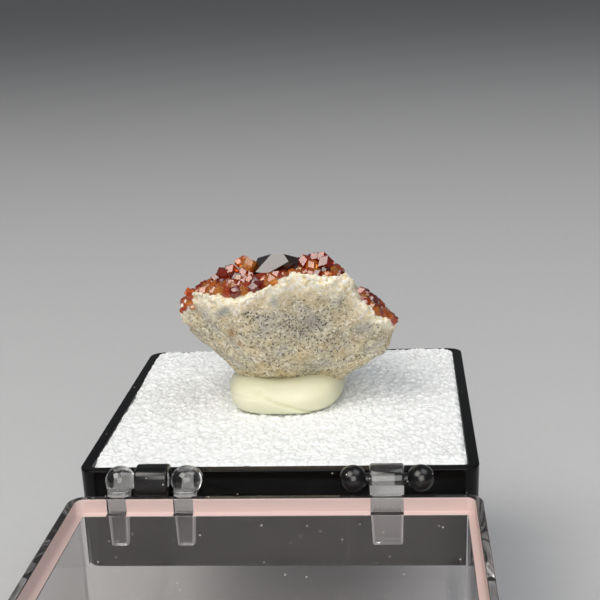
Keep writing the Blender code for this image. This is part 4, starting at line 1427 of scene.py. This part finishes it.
@dataclass
class Lid:
    """The clear lid, mouth up, with its strap, its two knobs and their legs."""

    hinge: HingeLine
    half: float = 15.875 * MM
    corner: float = 1.3 * MM
    height: float = 20.4 * MM
    wall: float = 1.2 * MM
    roof: float = 1.3 * MM
    draft: float = 0.35 * MM
    lip_height: float = 1.15 * MM
    lip_wall: float = 0.65 * MM
    axis_out: float = 1.25 * MM
    rim_drop: float = 0.75 * MM
    leg_length: float = 4.7 * MM
    leg_width: float = 1.7 * MM
    leg_end_width: float = 1.3 * MM
    leg_top: float = 1.3 * MM
    leg_end: float = 0.75 * MM
    strap_end: float = 2.3 * MM

    @property
    def rim_z(self) -> float:
        """Height of the lid's rim while it hangs open."""
        return self.hinge.axis_z - self.rim_drop

    @property
    def wall_y(self) -> float:
        """The lid wall's outer face on the hinge side."""
        return self.hinge.axis_y - self.axis_out

    def shell(self) -> Piece:
        """The lid's stepped wall profile carried round a rounded square, closed at the roof.

        Returns:
            The piece.
        """
        foot, rim = self.rim_z - self.height, self.rim_z
        edge, lip = 0.35 * MM, 0.12 * MM
        profile = [(self.half * 0.5, foot), (self.draft + edge + 0.5 * MM, foot)]
        profile += [(self.draft + i, foot + h) for i, h in edge_arc((edge, edge), edge, 270, 180)]
        profile += [(self.draft * 0.9, foot + 1.4 * MM), (0.02 * MM, rim - 0.5 * MM)]
        profile += rim_arcs(self.lip_wall, rim, lip)
        step = rim - self.lip_height
        profile += [(self.lip_wall, step + 0.1 * MM), (self.lip_wall + 0.08 * MM, step)]
        profile += [(self.wall - 0.08 * MM, step), (self.wall, step - 0.08 * MM)]
        profile += [(self.wall + self.draft * 0.9, foot + self.roof + 0.9 * MM)]
        profile += [(self.wall + self.draft + 0.25 * MM, foot + self.roof + 0.1 * MM)]
        profile += [(self.wall + self.draft + 0.8 * MM, foot + self.roof)]
        profile += [(self.half * 0.5, foot + self.roof)]
        piece = tube("lid_shell", box_shell(self.half, self.corner, profile, self.wall_y - self.half))
        even_normals(piece)
        around = len(rounded_square(self.half, self.corner, 0.0))
        inset, height = np.array(profile).T
        stepped = (height > step - 0.02 * MM) & (inset > self.lip_wall - 0.02 * MM)
        # Painted glow on the stepped lip, standing in for the light that the lip gathers.
        give_attribute(piece, "painted_glow", np.concatenate([np.repeat(0.9 * stepped, around), [0.0, 0.0]]))
        return piece

    def hinge_bits(self) -> Piece:
        """The strap with its loop on the right, and two knobs on tapered legs on the left."""
        h = self.hinge
        back = self.wall_y - 0.02 * MM
        low = h.axis_z - self.leg_length
        parts = [h.strap(h.right_x, h.barrel_length, self.strap_end, back, low, self.leg_end)]
        for side in (-1, 1):
            x = h.left_x + side * h.knob_offset
            parts.append(h.ball(x, h.lid_knob, 1.2 if side > 0 else 1.0))
            face, heights = (back, back + self.leg_top), (h.axis_z - h.leg_rise, low)
            parts.append(h.bar(x, self.leg_width, face, heights, self.leg_end_width, back + self.leg_end))
        piece = joined("lid_hinge_bits", parts)
        band = (self.rim_z - self.lip_height, self.rim_z)
        # Painted glow on the legs, white at their sides and where they cross the lip, standing in for light
        # their edges catch.
        give_attribute(piece, "painted_glow", h.edge_glow(piece, self.legs(), low, band))
        return piece

    def legs(self) -> tuple[Spot, ...]:
        """Middle and half width of the strap and of the two legs, at the axis and at the end."""
        h = self.hinge
        halves = self.leg_width / 2, self.leg_end_width / 2
        knob_legs = [(h.left_x + side * h.knob_offset, *halves) for side in (-1, 1)]
        return ((h.right_x, h.barrel_length / 2, self.strap_end / 2), *knob_legs)

    def build(self) -> list[Piece]:
        """Builds both pieces of the lid."""
        return [self.shell(), self.hinge_bits()]


@dataclass
class Studio:
    """Camera, floor and lights, none of them part of the object."""

    eye: Spot = (10.227 * MM, -107.178 * MM, 46.21 * MM)
    yaw: float = -0.0854
    pitch: float = 0.2587
    roll: float = -0.0409
    focal_px: float = 1257.35
    frame_px: float = 600.0
    floor_z: float = -13.6 * MM

    def camera(self) -> None:
        """Sets the camera by its eye, yaw, pitch and roll, with the lens from its focal length in pixels."""
        lens = bpy.data.cameras.new("camera")
        lens.sensor_width = 36.0
        lens.lens = self.focal_px / self.frame_px * lens.sensor_width
        lens.clip_start = 0.005
        made = bpy.data.objects.new("camera", lens)
        bpy.context.scene.collection.objects.link(made)
        across, along = math.sin(self.yaw), math.cos(self.yaw)
        ahead = Vector((across * math.cos(self.pitch), along * math.cos(self.pitch), -math.sin(self.pitch)))
        right = Vector((along, -across, 0.0))
        up = right.cross(ahead)
        turned_right = math.cos(self.roll) * right + math.sin(self.roll) * up
        turned_up = -math.sin(self.roll) * right + math.cos(self.roll) * up
        made.matrix_world = Matrix.Translation(self.eye) @ Matrix(
            (turned_right, turned_up, -ahead)
        ).transposed().to_4x4()
        bpy.context.scene.camera = made

    def light(self, name: str, place: Spot, size: float, power: float, colour: str) -> None:
        """Adds a square soft light that looks at the specimen."""
        lamp = bpy.data.lights.new(name, "AREA")
        lamp.size = size
        lamp.energy = power
        lamp.color = linear(colour)[:3]
        made = bpy.data.objects.new(name, lamp)
        made.location = place
        aim = Vector((0, 0, 0.012)) - Vector(place)
        made.rotation_euler = aim.to_track_quat("-Z", "Y").to_euler()
        bpy.context.scene.collection.objects.link(made)

    def floor(self) -> None:
        """Lays a plain pale floor far enough to fill the view."""
        reach = 12.0
        spots = np.array([(-reach, -reach, 0), (reach, -reach, 0), (reach, reach, 0), (-reach, reach, 0)])
        mesh = bpy.data.meshes.new("floor")
        mesh.from_pydata((spots + np.array([0, 0, self.floor_z])).tolist(), [], [(0, 1, 2, 3)])
        made = bpy.data.objects.new("floor", mesh)
        bpy.context.scene.collection.objects.link(made)
        finish = Finish("floor_pale_board")
        tone = finish.mix(finish.noise(900.0, 3.0), "c9cacb", "cfcfcf")
        board = finish.shader("Principled", {"Base Color": tone, "Roughness": 0.8})
        mesh.materials.append(finish.done(board))

    def build(self) -> None:
        """Sets up the whole studio."""
        self.camera()
        self.floor()
        self.light("key", (-0.25, -0.24, 0.51), 0.38, 2.15, "fffaf4")
        self.light("top", (0.24, -0.06, 0.55), 0.4, 1.0, "f6f9ff")
        self.light("front", (0.06, -0.56, 0.27), 0.4, 1.95, "fffdfa")
        world = bpy.data.worlds.new("studio")
        world.use_nodes = True
        world.node_tree.nodes["Background"].inputs["Color"].default_value = linear("b9bcc0")
        world.node_tree.nodes["Background"].inputs["Strength"].default_value = 0.25
        bpy.context.scene.world = world
        bpy.context.scene.view_settings.view_transform = "Standard"


PATCHES = (
    GarnetPatch(
        "garnets_crown", "garnets_top", bounds=(-7.9, 4.5),
        front_edge=(
            (-8.0, -6.5, -4.6, -3.4, -1.0, 0.2, 2.0, 4.8),
            (-0.4, -1.3, -3.3, -2.9, -2.6, -0.6, -0.6, -0.6),
        ),
        back_edge=((-8.0, -5.0, 0.0, 4.8), (3.0, 5.6, 6.6, 5.6)),
        count=640, sizes=(0.2, 0.5), spacing=0.6, tone=(0.0, 0.85), seed=101,
    ),
    GarnetPatch(
        "garnets_shoulder", "garnets_right", bounds=(6.35, 9.1),
        front_edge=((6.1, 7.5, 9.3), (-0.9, -1.5, -0.6)), back_edge=((6.0, 9.4), (4.4, 1.3)),
        count=110, sizes=(0.18, 0.44), spacing=0.55, tone=(0.0, 0.9), seed=102,
    ),
    GarnetPatch(
        "garnets_tip", "garnets_left", bounds=(-9.15, -8.3),
        front_edge=((-9.6, -8.3), (-1.2, -1.9)), back_edge=((-9.6, -8.3), (1.8, 2.6)),
        count=40, sizes=(0.18, 0.32), spacing=0.55, tone=(0.0, 0.6), seed=103, lift=0.15,
    ),
)


def dress(piece: Piece, surface: bpy.types.Material, body: str, node: str) -> None:
    """Gives a piece its material in one slot and its body, and hides and logs the CAD node that it stands
    for.
    """
    piece.data.materials.append(surface)
    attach(piece, body)
    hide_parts(node)
    LOG.info("%s: %d faces, for %s on %s", piece.name, len(piece.data.polygons), node, body)


def main() -> None:
    """Builds every sub-assembly in order and reports each piece."""
    logging.basicConfig(level=logging.INFO, format="%(message)s")
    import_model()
    Studio().build()

    foam_low, foam_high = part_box("foam_block")
    tray = Tray(HingeLine(axis_y=-17.125 * MM, axis_z=7.95 * MM))
    lid = Lid(tray.hinge)
    foam_top = foam_high[2]

    wall = BlackStyrene("black_polystyrene_moulded_walls", 0.14, (0.06, 0.2))
    knobs = BlackStyrene("black_polystyrene_moulded_knobs", 0.5, (0.2, 0.32))
    for piece, plastic in zip(tray.build(), (wall, knobs)):
        dress(piece, plastic.make(), "tray", "base_tray")

    foam = Foam(half=tray.half - tray.wall - 0.03 * MM, bottom=foam_low[2], top=foam_top).build()
    dress(foam, BeadFoam().make(), "tray", "foam_block")

    putty = Putty(foam_top).build()
    dress(putty, MountingPutty().make(), "tray", "putty")

    rock = Rock(foam_top)
    dress(rock.build(), FeldsparRock().make(), "tray", "matrix")

    forms = [CrystalForm.of_habit(habit) for habit in Habit]
    reds = ((0.0, "ffb050"), (0.3, "fa8632"), (0.58, "da4c22"), (0.8, "9c2a16"), (1.0, "4a0f0a"))
    red = Garnet("garnet_orange_red", reds, "f49a5c", 190.0)
    smoky = Garnet("garnet_smoky_dark", ((0.0, "6a2c18"), (1.0, "1e0a08")), "702010", 3500.0, 0.5)
    red_surface = red.make()
    heroes = HeroCrystals(foam_top)
    dress(heroes.main_crystal(), smoky.make(), "tray", "garnets_top")
    dress(heroes.crown_crystals(forms), red_surface, "tray", "garnets_top")
    blocked = heroes.blocked()
    for patch in PATCHES:
        dress(patch.build(rock, forms, blocked), red_surface, "tray", patch.node)

    # Both clear plastics carry a painted glow: pink satin at the lid's lip, white satin on the hinge legs'
    # edges.
    walls = ClearStyrene("clear_polystyrene_moulded_walls", lid.legs(), lid.wall_y - 0.72 * MM)
    # The hinge plastic's satin is the white of the legs' painted glow.
    legs = ClearStyrene("clear_polystyrene_moulded_hinge", (), 0.0, tint="fbfbfb", haze=0.004, satin="f4f4f4")
    for piece, plastic in zip(lid.build(), (walls, legs)):
        dress(piece, plastic.make(), "lid", "lid")


if __name__ == "__main__":
    main()
